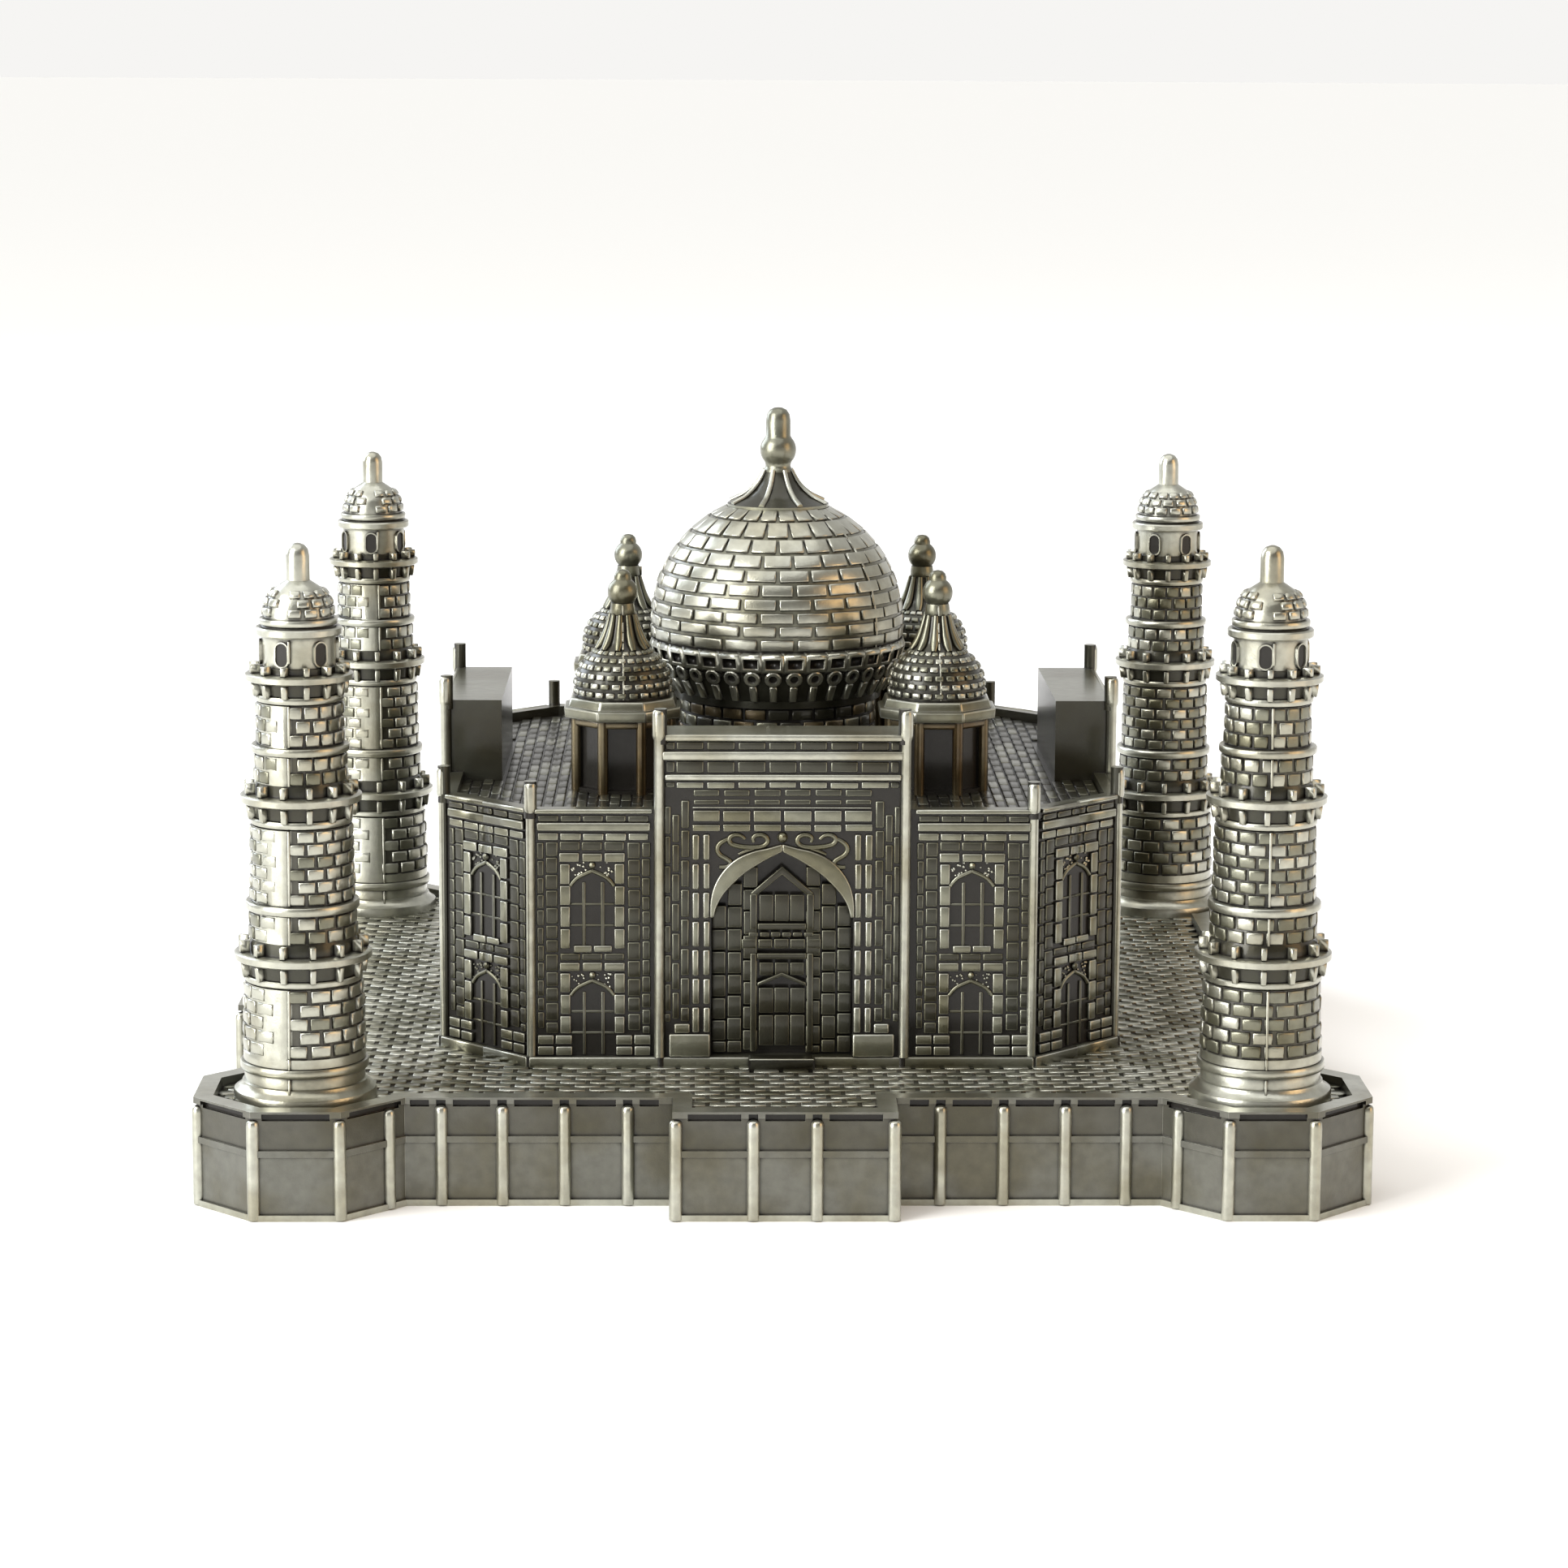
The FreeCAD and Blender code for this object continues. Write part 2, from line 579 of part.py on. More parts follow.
def make_pavilion(corner, x, y):
    """One roof pavilion: kiosk, stepped eave, small dome and spike, with a tenon below."""
    name = "chhatri_" + corner
    place_x, place_y = f"{x} * kiosk_off", f"{y} * kiosk_off"
    cupola_top = "(cupola_top_z - cupola_mid_z)"
    top_rad = f"sqrt(cupola_rad * cupola_rad - {cupola_top} * {cupola_top})"
    eave_z = "(kiosk_z + 2 * eave_tall)"
    foot = f"({eave_z} - cupola_mid_z)"
    foot_rad = f"sqrt(cupola_rad * cupola_rad - {foot} * {foot})"
    ball_cut = "sqrt(cupola_ball_rad * cupola_ball_rad - cupola_neck_rad * cupola_neck_rad)"
    spike_cut = "sqrt(cupola_ball_rad * cupola_ball_rad - cupola_spike_rad * cupola_spike_rad)"
    section = [
        ("0", "kiosk_z"),
        ("kiosk_flat", "kiosk_z"),
        ("kiosk_flat", eave_z),
        (foot_rad, eave_z, "cupola_rad", 1),
        (top_rad, "cupola_top_z"),
        ("cupola_neck_rad", "cupola_neck_z"),
        ("cupola_neck_rad", f"cupola_ball_z - {ball_cut}", "cupola_ball_rad", 1),
        ("cupola_spike_rad", f"cupola_ball_z + {spike_cut}"),
        ("cupola_spike_rad", "cupola_spike_z - cupola_spike_rad", "cupola_spike_rad", 1),
        ("0", "cupola_spike_z"),
    ]
    cupola = turned(name + "_cupola", section)
    cupola.Placement.Base = FreeCAD.Vector(value(place_x), value(place_y), 0)
    bind(cupola, "Placement.Base.x", place_x)
    bind(cupola, "Placement.Base.y", place_y)
    pavilion = fused(name, [
        rod(name + "_tenon", place_x, place_y, "tenon_rad", "roof_z - roof_thick", "roof_z"),
        octagon(name + "_kiosk", place_x, place_y, "kiosk_flat", "roof_z", "kiosk_z"),
        octagon(name + "_eave", place_x, place_y, "eave_flat", "kiosk_z", "kiosk_z + eave_tall"),
        octagon(name + "_eave_step", place_x, place_y, "eave_step_flat", "kiosk_z + eave_tall",
                eave_z),
        cupola,
    ])
    pavilion.Label = name
    return pavilion


# ---- minarets ------------------------------------------------------------------------------

def gallery(shaft, foot, parapet_top, ring):
    """Half section of a gallery: flare from the shaft, ring, and parapet up to its top."""
    wall = f"({ring} - (gallery_ring / 2))"
    return [
        (shaft, foot),
        (wall, f"{foot} + gallery_flare"),
        (ring, f"{foot} + gallery_flare"),
        (ring, f"{foot} + gallery_flare + gallery_ring"),
        (wall, f"{foot} + gallery_flare + gallery_ring"),
        (wall, parapet_top),
    ]


def make_minaret(corner, x, y):
    """One minaret: foot disc, three tapering shafts with galleries, lantern, cap and spike."""
    hole_top = "(deck_z - deck_thick + screw_long)"
    section = [
        ("pilot_rad", "deck_z - deck_thick"),
        ("spigot_rad", "deck_z - deck_thick"),
        ("spigot_rad", "deck_z"),
        ("foot_rad", "deck_z"),
        ("foot_rad", "foot_z"),
        ("plinth_drum_rad", "foot_z"),
        ("plinth_drum_rad", "belt_z"),
        ("belt_rad", "belt_z"),
        ("belt_rad", "low_z"),
        ("low_rad", "low_z"),
    ]
    section += gallery("low_top_rad", "low_gallery_z", "mid_z", "low_gallery_rad")
    section += [("mid_rad", "mid_z")]
    section += gallery("mid_top_rad", "mid_gallery_z", "high_z", "mid_gallery_rad")
    section += [("high_rad", "high_z")]
    section += gallery("high_top_rad", "high_gallery_z", "lantern_z", "high_gallery_rad")
    section += [
        ("lantern_rad", "lantern_z"),
        ("lantern_rad", "canopy_z"),
        ("canopy_rad", "canopy_z + gallery_ring"),
        ("cap_rad", "cap_z", "cap_rad", 1),
        ("tip_rad", "cap_top_z"),
        ("tip_rad", "tip_z - tip_rad", "tip_rad", 1),
        ("0", "tip_z"),
        ("0", hole_top),
        ("pilot_rad", hole_top),
    ]
    body = turned("minaret_" + corner, section)
    bind(body, "Placement.Base.x", f"{x} * minaret_off")
    bind(body, "Placement.Base.y", f"{y} * minaret_off")
    return body


# ---- screws --------------------------------------------------------------------------------

def screw(name, x, y, under_head_z, head_radius):
    """A pan-head self-tapping screw that points up, its head below the plate it clamps."""
    return fused(name, [
        rod(name + "_head", x, y, head_radius, f"({under_head_z}) - head_tall", under_head_z),
        rod(name + "_shank", x, y, "screw_rad", under_head_z,
            f"({under_head_z}) + screw_long - fit_gap"),
    ])


def make_screws():
    """The three sets of screws: under the minarets, under the walls and under the roof."""
    deck_under = "deck_z - deck_thick"
    minaret_set = doc.addObject("Part::Compound", "minaret_screws")
    minaret_set.Links = [
        screw(f"minaret_screw_{corner}", f"{x} * minaret_off", f"{y} * minaret_off", deck_under,
              "wide_head_rad") for corner, (x, y) in CORNERS.items()]
    wall_set = doc.addObject("Part::Compound", "wall_screws")
    wall_set.Links = [
        screw(f"wall_screw_{side}", f"{x} * boss_off", f"{y} * boss_off", deck_under, "head_rad")
        for side, (x, y) in zip(QUARTERS, ((0, -1), (1, 0), (0, 1), (-1, 0)))]
    single = screw("dome_screw", "0", "0", "roof_z - roof_thick", "head_rad")
    return [minaret_set, wall_set, single]


# ---- the whole object ----------------------------------------------------------------------

sub_parts = [make_plinth(), make_felt_pad()]
sub_parts += [make_wall(side, turn) for side, turn in QUARTERS.items()]
sub_parts += [make_roof(), make_main_dome(), make_finial()]
sub_parts += [make_pavilion(corner, x, y) for corner, (x, y) in CORNERS.items()]
sub_parts += [make_minaret(corner, x, y) for corner, (x, y) in CORNERS.items()]
sub_parts += make_screws()
doc.recompute()

for thing in doc.Objects:
    if "Invalid" in thing.State or "Error" in thing.State:
        raise RuntimeError(f"{thing.Label} failed to compute: {thing.State}")
for part in sub_parts:
    if part.Shape.isNull() or not part.Shape.isValid():
        raise RuntimeError(f"{part.Label} has no valid shape")

os.makedirs("parts", exist_ok=True)
for part in sub_parts:
    part.Shape.exportStep(f"parts/{part.Label}.step")
    print(f"{part.Label}: {len(part.Shape.Solids)} solid(s), {part.Shape.Volume:.1f} mm3")
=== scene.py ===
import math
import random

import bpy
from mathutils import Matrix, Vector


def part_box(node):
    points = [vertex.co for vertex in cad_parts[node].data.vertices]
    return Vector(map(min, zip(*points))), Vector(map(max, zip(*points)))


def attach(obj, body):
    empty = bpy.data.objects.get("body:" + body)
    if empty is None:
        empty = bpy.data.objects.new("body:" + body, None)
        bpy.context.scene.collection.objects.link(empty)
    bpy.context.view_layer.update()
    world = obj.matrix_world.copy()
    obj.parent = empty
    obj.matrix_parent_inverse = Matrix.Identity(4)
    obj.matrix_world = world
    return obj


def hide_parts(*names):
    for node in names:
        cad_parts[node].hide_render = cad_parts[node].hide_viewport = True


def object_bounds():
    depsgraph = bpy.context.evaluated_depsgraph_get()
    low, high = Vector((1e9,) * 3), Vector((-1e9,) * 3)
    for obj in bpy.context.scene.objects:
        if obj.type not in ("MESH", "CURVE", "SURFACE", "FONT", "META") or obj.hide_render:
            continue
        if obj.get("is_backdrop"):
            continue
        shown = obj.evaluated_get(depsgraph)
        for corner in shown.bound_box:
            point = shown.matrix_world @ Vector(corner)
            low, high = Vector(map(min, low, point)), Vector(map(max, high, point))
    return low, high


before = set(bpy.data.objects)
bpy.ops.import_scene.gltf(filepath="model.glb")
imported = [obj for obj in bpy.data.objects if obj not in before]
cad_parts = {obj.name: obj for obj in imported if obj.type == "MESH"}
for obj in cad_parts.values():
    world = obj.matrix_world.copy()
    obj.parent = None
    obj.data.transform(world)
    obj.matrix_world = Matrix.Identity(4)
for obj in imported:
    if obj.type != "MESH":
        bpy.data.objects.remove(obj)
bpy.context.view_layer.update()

# %% [markdown]
# # A cast souvenir of a domed tomb, in antique pewter
# The object is zinc alloy cast in steel moulds, nickel plated, blackened, and wiped back with a
# buffing wheel. The wheel only reaches what stands proud, so every brick, rib and ring is bright
# and every joint between them stays dark. That is why the relief is modelled as real geometry:
# the patina, the highlights and the outline all come from it.
#
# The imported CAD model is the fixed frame. Places come from its boxes, in metres.

MM = 0.001
SUNK = 0.12            # mm, how deep raised relief is rooted in what it stands on
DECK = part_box("wall_front")[0].z / MM
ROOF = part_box("roof_deck")[1].z / MM
FACE = 33.0            # mm, from the middle to the outside of a wall

# %% [markdown]
# ## Helpers for modelling
# Every piece starts from a primitive, is shaped in edit mode, and is selected in code, by where
# its faces are or which way they look. An operator acts on all that is selected, so each helper
# clears the selection first.

# %% Selecting, editing and joining


def pick(*pieces):
    """Only these objects are selected, and the first is active."""
    if bpy.context.object and bpy.context.object.mode != "OBJECT":
        bpy.ops.object.mode_set(mode="OBJECT")
    bpy.ops.object.select_all(action="DESELECT")
    for piece in pieces:
        piece.select_set(True)
    bpy.context.view_layer.objects.active = pieces[0]


def edit_faces(piece, wanted):
    """Edit mode with only the faces selected that wanted(centre, normal) chooses."""
    pick(piece)
    bpy.context.tool_settings.mesh_select_mode = (False, False, True)
    for group in (piece.data.vertices, piece.data.edges, piece.data.polygons):
        group.foreach_set("select", [False] * len(group))
    for face in piece.data.polygons:
        face.select = wanted(face.center, face.normal)
    bpy.ops.object.mode_set(mode="EDIT")


def spin(degrees):
    """A turn about the upright axis."""
    return Matrix.Rotation(math.radians(degrees), 4, "Z")


def triangles(piece):
    """How many triangles a piece has."""
    return sum(len(face.vertices) - 2 for face in piece.data.polygons)


def leave_edit():
    """Back to object mode."""
    bpy.ops.object.mode_set(mode="OBJECT")


def added(name, *finishes):
    """Names the primitive just added, fixes its place in its mesh and gives it its finishes."""
    piece = bpy.context.object
    piece.name = name
    piece.data.name = name
    bpy.ops.object.transform_apply(location=True, rotation=True, scale=True)
    for finish in finishes:
        piece.data.materials.append(finish)
    return piece


def painted(piece, choose):
    """Gives each face the finish whose number choose(centre in mm, normal) returns."""
    for face in piece.data.polygons:
        face.material_index = choose(face.center / MM, face.normal)
    return piece


def joined(name, pieces):
    """Several pieces made one object."""
    pick(*pieces)
    if len(pieces) > 1:
        bpy.ops.object.join()
    piece = bpy.context.object
    piece.name = name
    piece.data.name = name
    return piece


def copies(name, template, places, keep=False, mixed=None):
    """Copies of a template at each place, a matrix, joined to one piece.

    With mixed, a seeded random source, each copy takes one of the template's finishes.
    """
    made = []
    for place in places:
        mesh = template.data.copy()
        mesh.transform(place)
        if place.determinant() < 0:
            mesh.flip_normals()
        if mixed:
            finish = mixed.randrange(len(mesh.materials))
            mesh.polygons.foreach_set("material_index", [finish] * len(mesh.polygons))
        made.append(bpy.data.objects.new(name, mesh))
        bpy.context.scene.collection.objects.link(made[-1])
    if not keep:
        bpy.data.objects.remove(template)
    return joined(name, made)


def softened(piece, width, segments=1, angle=35, edge_finish=-1):
    """Edges sharper than the angle get a narrow round, which may have a finish of its own."""
    pick(piece)
    bevel = piece.modifiers.new("cast edge", "BEVEL")
    bevel.width = width * MM
    bevel.segments = segments
    bevel.limit_method = "ANGLE"
    bevel.angle_limit = math.radians(angle)
    bevel.material = edge_finish
    bpy.ops.object.modifier_apply(modifier=bevel.name)
    return piece


def smooth(piece, angle=38):
    """Smooth shading that keeps the crisp edges."""
    pick(piece)
    bpy.ops.object.shade_smooth_by_angle(angle=math.radians(angle))
    return piece


# %% [markdown]
# ## Colours and nodes
# Colours are given as sRGB hex values, as a paint chart or a screen shows them, and turned to
# the linear values that the shader works in.

# %% Colour and node helpers


def linear(colour, alpha=1.0):
    """An sRGB hex colour as linear RGBA."""
    parts = [int(colour[place:place + 2], 16) / 255 for place in (1, 3, 5)]
    return [c / 12.92 if c <= 0.04045 else ((c + 0.055) / 1.055) ** 2.4 for c in parts] + [alpha]


def node(tree, kind, settings=None, values=None, links=None):
    """Adds one node with its settings, unlinked socket values and links from other sockets."""
    made = tree.nodes.new(kind)
    for name, setting in (settings or {}).items():
        setattr(made, name, setting)
    for socket, amount in (values or {}).items():
        made.inputs[socket].default_value = amount
    for socket, source in (links or {}).items():
        tree.links.new(source, made.inputs[socket])
    return made


# %% [markdown]
# ## Antique pewter
# The real finish is bright nickel over a casting, under a dark patina that is left where the
# buffing wheel can't reach, with a clear lacquer on top. Three things make it: an ambient
# occlusion mask finds the joints and corners where the patina stays, a slow noise makes the
# wiping uneven, and a fine grain is the skin of the casting. The metal keeps the default IOR, and
# the lacquer is the shader's coat. Surfaces differ only in how far the wheel reached them, so one
# function makes the whole family.

# %% The pewter family
PATINA = "#17130D"
WIPE_SIZE = 9.0        # mm, the uneven patches that wiping leaves
STAIN_SIZE = 1.1       # mm, the small stains inside them
GRAIN_SIZE = 0.16      # mm, the skin of a die casting, drawn coarser than it is so that it shows
REACH = 0.55           # mm, how wide a joint may be and still keep its patina


def pewter(name, bright, tone, wiped, rough):
    """One degree of wiping: bright metal colour, its warm tone, and how much patina is gone."""
    finish = bpy.data.materials.new(name)
    finish.use_nodes = True
    tree = finish.node_tree
    shader = tree.nodes["Principled BSDF"]
    place = node(tree, "ShaderNodeTexCoord").outputs["Object"]
    patches = node(tree, "ShaderNodeTexNoise", {}, {"Scale": 1 / (WIPE_SIZE * MM), "Detail": 3.0},
                   {"Vector": place}).outputs["Fac"]
    grain = node(tree, "ShaderNodeTexNoise", {}, {"Scale": 1 / (GRAIN_SIZE * MM), "Detail": 2.0},
                 {"Vector": place}).outputs["Fac"]
    stains = node(tree, "ShaderNodeTexNoise", {}, {"Scale": 1 / (STAIN_SIZE * MM), "Detail": 4.0},
                  {"Vector": place}).outputs["Fac"]
    hollow = node(tree, "ShaderNodeAmbientOcclusion", {"samples": 8, "only_local": True},
                  {"Distance": REACH * MM}).outputs["AO"]
    open_face = node(tree, "ShaderNodeMapRange", {"interpolation_type": "SMOOTHSTEP"},
                     {"From Min": 0.38, "From Max": 0.9}, {"Value": hollow}).outputs["Result"]
    uneven = node(tree, "ShaderNodeMapRange", {}, {"From Min": 0.32, "From Max": 0.68,
                  "To Min": 0.75, "To Max": 1.0}, {"Value": stains}).outputs["Result"]
    worn = node(tree, "ShaderNodeMath", {"operation": "MULTIPLY"}, {},
                {0: open_face, 1: uneven}).outputs[0]
    gone = node(tree, "ShaderNodeMath", {"operation": "MULTIPLY"}, {1: wiped},
                {0: worn}).outputs[0]
    toned = node(tree, "ShaderNodeMapRange", {}, {"From Min": 0.44, "From Max": 0.62},
                 {"Value": patches}).outputs["Result"]
    metal = node(tree, "ShaderNodeMix", {"data_type": "RGBA"}, {6: linear(bright),
                 7: linear(tone)}, {0: toned}).outputs[2]
    colour = node(tree, "ShaderNodeMix", {"data_type": "RGBA"}, {6: linear(PATINA)},
                  {0: gone, 7: metal}).outputs[2]
    metallic = node(tree, "ShaderNodeMapRange", {}, {"To Min": 0.4, "To Max": 1.0},
                    {"Value": gone}).outputs["Result"]
    sheen = node(tree, "ShaderNodeMapRange", {}, {"To Min": rough + 0.2, "To Max": rough},
                 {"Value": gone}).outputs["Result"]
    gloss = node(tree, "ShaderNodeMath", {"operation": "MULTIPLY_ADD"}, {1: 0.12},
                 {0: stains, 2: sheen}).outputs[0]
    skin = node(tree, "ShaderNodeBump", {}, {"Strength": 0.5, "Distance": 0.025 * MM},
                {"Height": grain}).outputs["Normal"]
    swell = node(tree, "ShaderNodeBump", {}, {"Strength": 0.4, "Distance": 0.06 * MM},
                 {"Height": stains, "Normal": skin}).outputs["Normal"]
    for socket, source in (("Base Color", colour), ("Metallic", metallic), ("Roughness", gloss),
                           ("Normal", swell)):
        tree.links.new(source, shader.inputs[socket])
    shader.inputs["Coat Weight"].default_value = 0.35
    shader.inputs["Coat Roughness"].default_value = 0.14
    return finish


# bright metal, its warmer tone, the share of patina wiped off, and how rough it is
BRIGHT = pewter("nickel_wiped_bright", "#B4B4A7", "#9C9987", 0.97, 0.20)
WORN = pewter("nickel_half_wiped", "#828272", "#686550", 0.90, 0.23)
PANEL = pewter("nickel_panel_wiped", "#72726A", "#625F50", 0.85, 0.26)
DIM = pewter("nickel_barely_wiped", "#5C5B52", "#4E4B3C", 0.80, 0.25)
DARK = pewter("blackened_pewter", "#45453A", "#3A3728", 0.70, 0.26)
BLACK = pewter("patina_black_pewter", "#201F1A", "#1D1912", 0.40, 0.34)
BRONZED = pewter("bronze_toned_pewter", "#756A50", "#57462A", 0.85, 0.22)
print("finishes", [finish.name for finish in (BRIGHT, WORN, PANEL, DIM, DARK, BLACK, BRONZED)])

# %% [markdown]
# ## Felt and screw steel
# The card under the plinth is covered with felt, which is a mat of fibres with no weave, and the
# screws are zinc plated, a thin bluish grey metal skin with faint turning marks.

# %% Felt and screw steel


def felt():
    """Green-black wool felt: tangled fibres 0.3 mm apart and a soft sheen."""
    finish = bpy.data.materials.new("wool_felt")
    finish.use_nodes = True
    tree = finish.node_tree
    shader = tree.nodes["Principled BSDF"]
    place = node(tree, "ShaderNodeTexCoord").outputs["Object"]
    fibre = node(tree, "ShaderNodeTexNoise", {}, {"Scale": 1 / (0.3 * MM), "Detail": 6.0,
                 "Distortion": 1.5}, {"Vector": place}).outputs["Fac"]
    colour = node(tree, "ShaderNodeMix", {"data_type": "RGBA"}, {6: linear("#141D19"),
                  7: linear("#2E3D35")}, {0: fibre}).outputs[2]
    nap = node(tree, "ShaderNodeBump", {}, {"Strength": 0.8, "Distance": 0.15 * MM},
               {"Height": fibre}).outputs["Normal"]
    tree.links.new(colour, shader.inputs["Base Color"])
    tree.links.new(nap, shader.inputs["Normal"])
    shader.inputs["Roughness"].default_value = 0.95
    shader.inputs["Sheen Weight"].default_value = 0.4
    return finish


def plated_steel():
    """Zinc plating: bluish grey metal with fine turned rings."""
    finish = bpy.data.materials.new("zinc_plated_steel")
    finish.use_nodes = True
    tree = finish.node_tree
    shader = tree.nodes["Principled BSDF"]
    place = node(tree, "ShaderNodeTexCoord").outputs["Object"]
    rings = node(tree, "ShaderNodeTexWave", {"wave_type": "BANDS", "bands_direction": "Z"},
                 {"Scale": 1 / (0.8 * MM), "Distortion": 0.4}, {"Vector": place}).outputs["Fac"]
    rough = node(tree, "ShaderNodeMapRange", {}, {"To Min": 0.28, "To Max": 0.42},
                 {"Value": rings}).outputs["Result"]
    colour = node(tree, "ShaderNodeMix", {"data_type": "RGBA"}, {6: linear("#9EA3A6"),
                  7: linear("#B8BBBA")}, {0: rings}).outputs[2]
    tree.links.new(rough, shader.inputs["Roughness"])
    tree.links.new(colour, shader.inputs["Base Color"])
    shader.inputs["Metallic"].default_value = 1.0
    return finish


for name, finish in (("felt_pad", felt()), ("minaret_screws", plated_steel()),
                     ("wall_screws", plated_steel()), ("dome_screw", plated_steel())):
    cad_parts[name].data.materials.clear()
    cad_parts[name].data.materials.append(finish)
    print(name, finish.name)

# %% [markdown]
# ## Bricks and turned shapes
# One brick is a cube with its front face inset and pulled forward, so that it catches light like
# a small pillow. Round towers are turned: a disc is extruded upward and scaled step by step
# through the profile, which leaves one closed shell.

# %% Brick and turning helpers


def brick(name, long, tall, proud, *finishes, crown=0.14):
    """A brick seen from -Y, sunk a little into what it stands on, with a pillowed face."""
    bpy.ops.mesh.primitive_cube_add(size=1, location=(0, (SUNK - proud) / 2 * MM, 0))
    bpy.context.object.scale = (long * MM, (proud + SUNK) * MM, tall * MM)
    piece = added(name, *finishes)
    edit_faces(piece, lambda centre, normal: normal.y < -0.9)
    bpy.ops.mesh.inset(thickness=crown * 0.6 * MM, depth=crown * 0.5 * MM)
    bpy.ops.mesh.inset(thickness=crown * MM, depth=crown * 0.3 * MM)
    leave_edit()
    return smooth(piece, 70)


def turned(name, profile, *finishes, columns=64):
    """A closed shell turned about Z through a profile of radii and heights."""
    radius, height = profile[0]
    bpy.ops.mesh.primitive_circle_add(vertices=columns, radius=radius * MM, fill_type="NGON",
                                      location=(0, 0, height * MM))
    piece = added(name, *finishes)
    edit_faces(piece, lambda centre, normal: True)
    for next_radius, next_height in profile[1:]:
        bpy.ops.mesh.extrude_region_move(
            TRANSFORM_OT_translate={"value": (0, 0, (next_height - height) * MM)})
        grow = next_radius / radius
        bpy.ops.transform.resize(value=(grow, grow, 1),
                                 center_override=(0, 0, next_height * MM))
        radius, height = next_radius, next_height
    bpy.ops.mesh.select_all(action="SELECT")
    bpy.ops.mesh.normals_make_consistent(inside=False)
    leave_edit()
    return piece


def round_place(angle, radius, height, lean=0.0, stretch=(1, 1, 1), yaw=0.0):
    """Where a brick goes on a round wall: angle from the front, radius, height, lean back."""
    return (spin(angle)
            @ Matrix.Translation((0, -radius * MM, height * MM))
            @ Matrix.Rotation(math.radians(-lean), 4, "X")
            @ spin(yaw)
            @ Matrix.Diagonal((*stretch, 1)))


# %% [markdown]
# ## Minarets
# A minaret is three tapering brick shafts with a gallery on each, then a lantern with arched
# windows, a small brick dome and a blunt pin. The mould closes along a line up the front, where
# a thin flash of metal stands. On the left pair the joints beside the line are filled with
# metal, and on the right pair the bricks are only shallower there, so two are built on the axis
# and each is copied to two corners.

# %% Minaret: shafts, belts and galleries
BRICKS_ROUND = 16
POSTS_ROUND = 13
RELIEF = 0.2
LINE_ANGLE = -8.0      # degrees from the front, where the mould closes
FILLED_REACH = 28      # degrees beside the mould line over which the joints are quite full
# foot height, top height, radius at foot, radius at top, courses
SHAFTS = [(14.3, 20.75, 5.72, 5.47, 5), (24.95, 27.55, 5.02, 5.0, 2),
          (28.55, 35.6, 4.86, 4.73, 6), (39.7, 42.35, 4.31, 4.27, 2),
          (43.25, 47.1, 4.07, 4.0, 3)]
# lower ring from and to, main ring from and to, top of the posts, radius of the main ring
GALLERIES = [(20.85, 21.5, 22.8, 23.75, 24.85, 6.42), (35.7, 36.4, 37.65, 38.6, 39.6, 5.65),
             (47.2, 47.9, 49.05, 49.9, 50.7, 5.0)]


def ring(radius, low, high, out):
    """Profile of a rounded ring on a wall of this radius."""
    soft = (high - low) * 0.22
    return [(radius, low), (radius + out * 0.8, low + soft * 0.3), (radius + out, low + soft),
            (radius + out, high - soft), (radius + out * 0.8, high - soft * 0.3), (radius, high)]


def shaft_profile(step):
    """The mortar level of one shaft."""
    low, high, wide, narrow, courses = SHAFTS[step]
    return [(wide - RELIEF, low), (narrow - RELIEF, high)]


def gallery_profile(step):
    """Lower ring, dark wall of the openings, main ring and the wall behind the posts."""
    low, low_top, main, main_top, high, radius = GALLERIES[step]
    wall = radius - 1.0
    return (ring(wall - 0.3, low, low_top, 0.42) + [(wall - 0.15, low_top + 0.05)]
            + ring(wall, main, main_top, 1.0) + [(wall - 0.35, main_top + 0.02),
                                                 (wall - 0.35, high - 0.25)])


tower = [(6.7, DECK + 0.01), (6.7, 10.25), (6.62, 10.5), (6.2, 10.75), (5.95, 11.0),
         (5.85, 11.3), (5.66, 11.4), (5.64, 12.35)]
tower += ring(5.62, 12.4, 13.3, 0.4) + [(5.72, 13.35), (5.72, 14.2)]
tower += shaft_profile(0) + gallery_profile(0) + shaft_profile(1)
tower += ring(4.8, 27.6, 28.5, 0.52)
tower += shaft_profile(2) + gallery_profile(1) + shaft_profile(3)
tower += ring(4.1, 42.4, 43.2, 0.46)
tower += shaft_profile(4) + gallery_profile(2)
tower += [(3.44, 50.5), (3.44, 53.1)]
tower += ring(3.45, 53.25, 54.15, 0.56) + ring(3.35, 54.3, 54.95, 0.3)
tower += [(3.18, 55.0), (3.14, 55.5), (2.98, 56.3), (2.65, 57.05), (2.1, 57.7), (1.5, 58.1),
          (1.12, 58.35), (1.1, 60.6), (0.98, 61.2), (0.66, 61.6), (0.2, 61.78)]


def filling(angle):
    """How full the joints are: quite full left of the mould line, then less and less."""
    behind = (LINE_ANGLE + 1 - angle) % 360
    return 1.0 if behind < FILLED_REACH else max(0.0, 0.8 - (behind - FILLED_REACH) / 100)


def tower_finish(centre, normal):
    """Black in the openings, bright on the rings, dark mortar, and half wiped elsewhere."""
    radius = math.hypot(centre.x, centre.y)
    for low, low_top, main, main_top, high, wide in GALLERIES:
        if low_top < centre.z < main or main_top < centre.z < high:
            return 2
    for low, high, wide, narrow, courses in SHAFTS:
        part = (centre.z - low) / (high - low)
        if 0 < part < 1 and radius < wide + (narrow - wide) * part - RELIEF * 0.6:
            return 1
    return 0


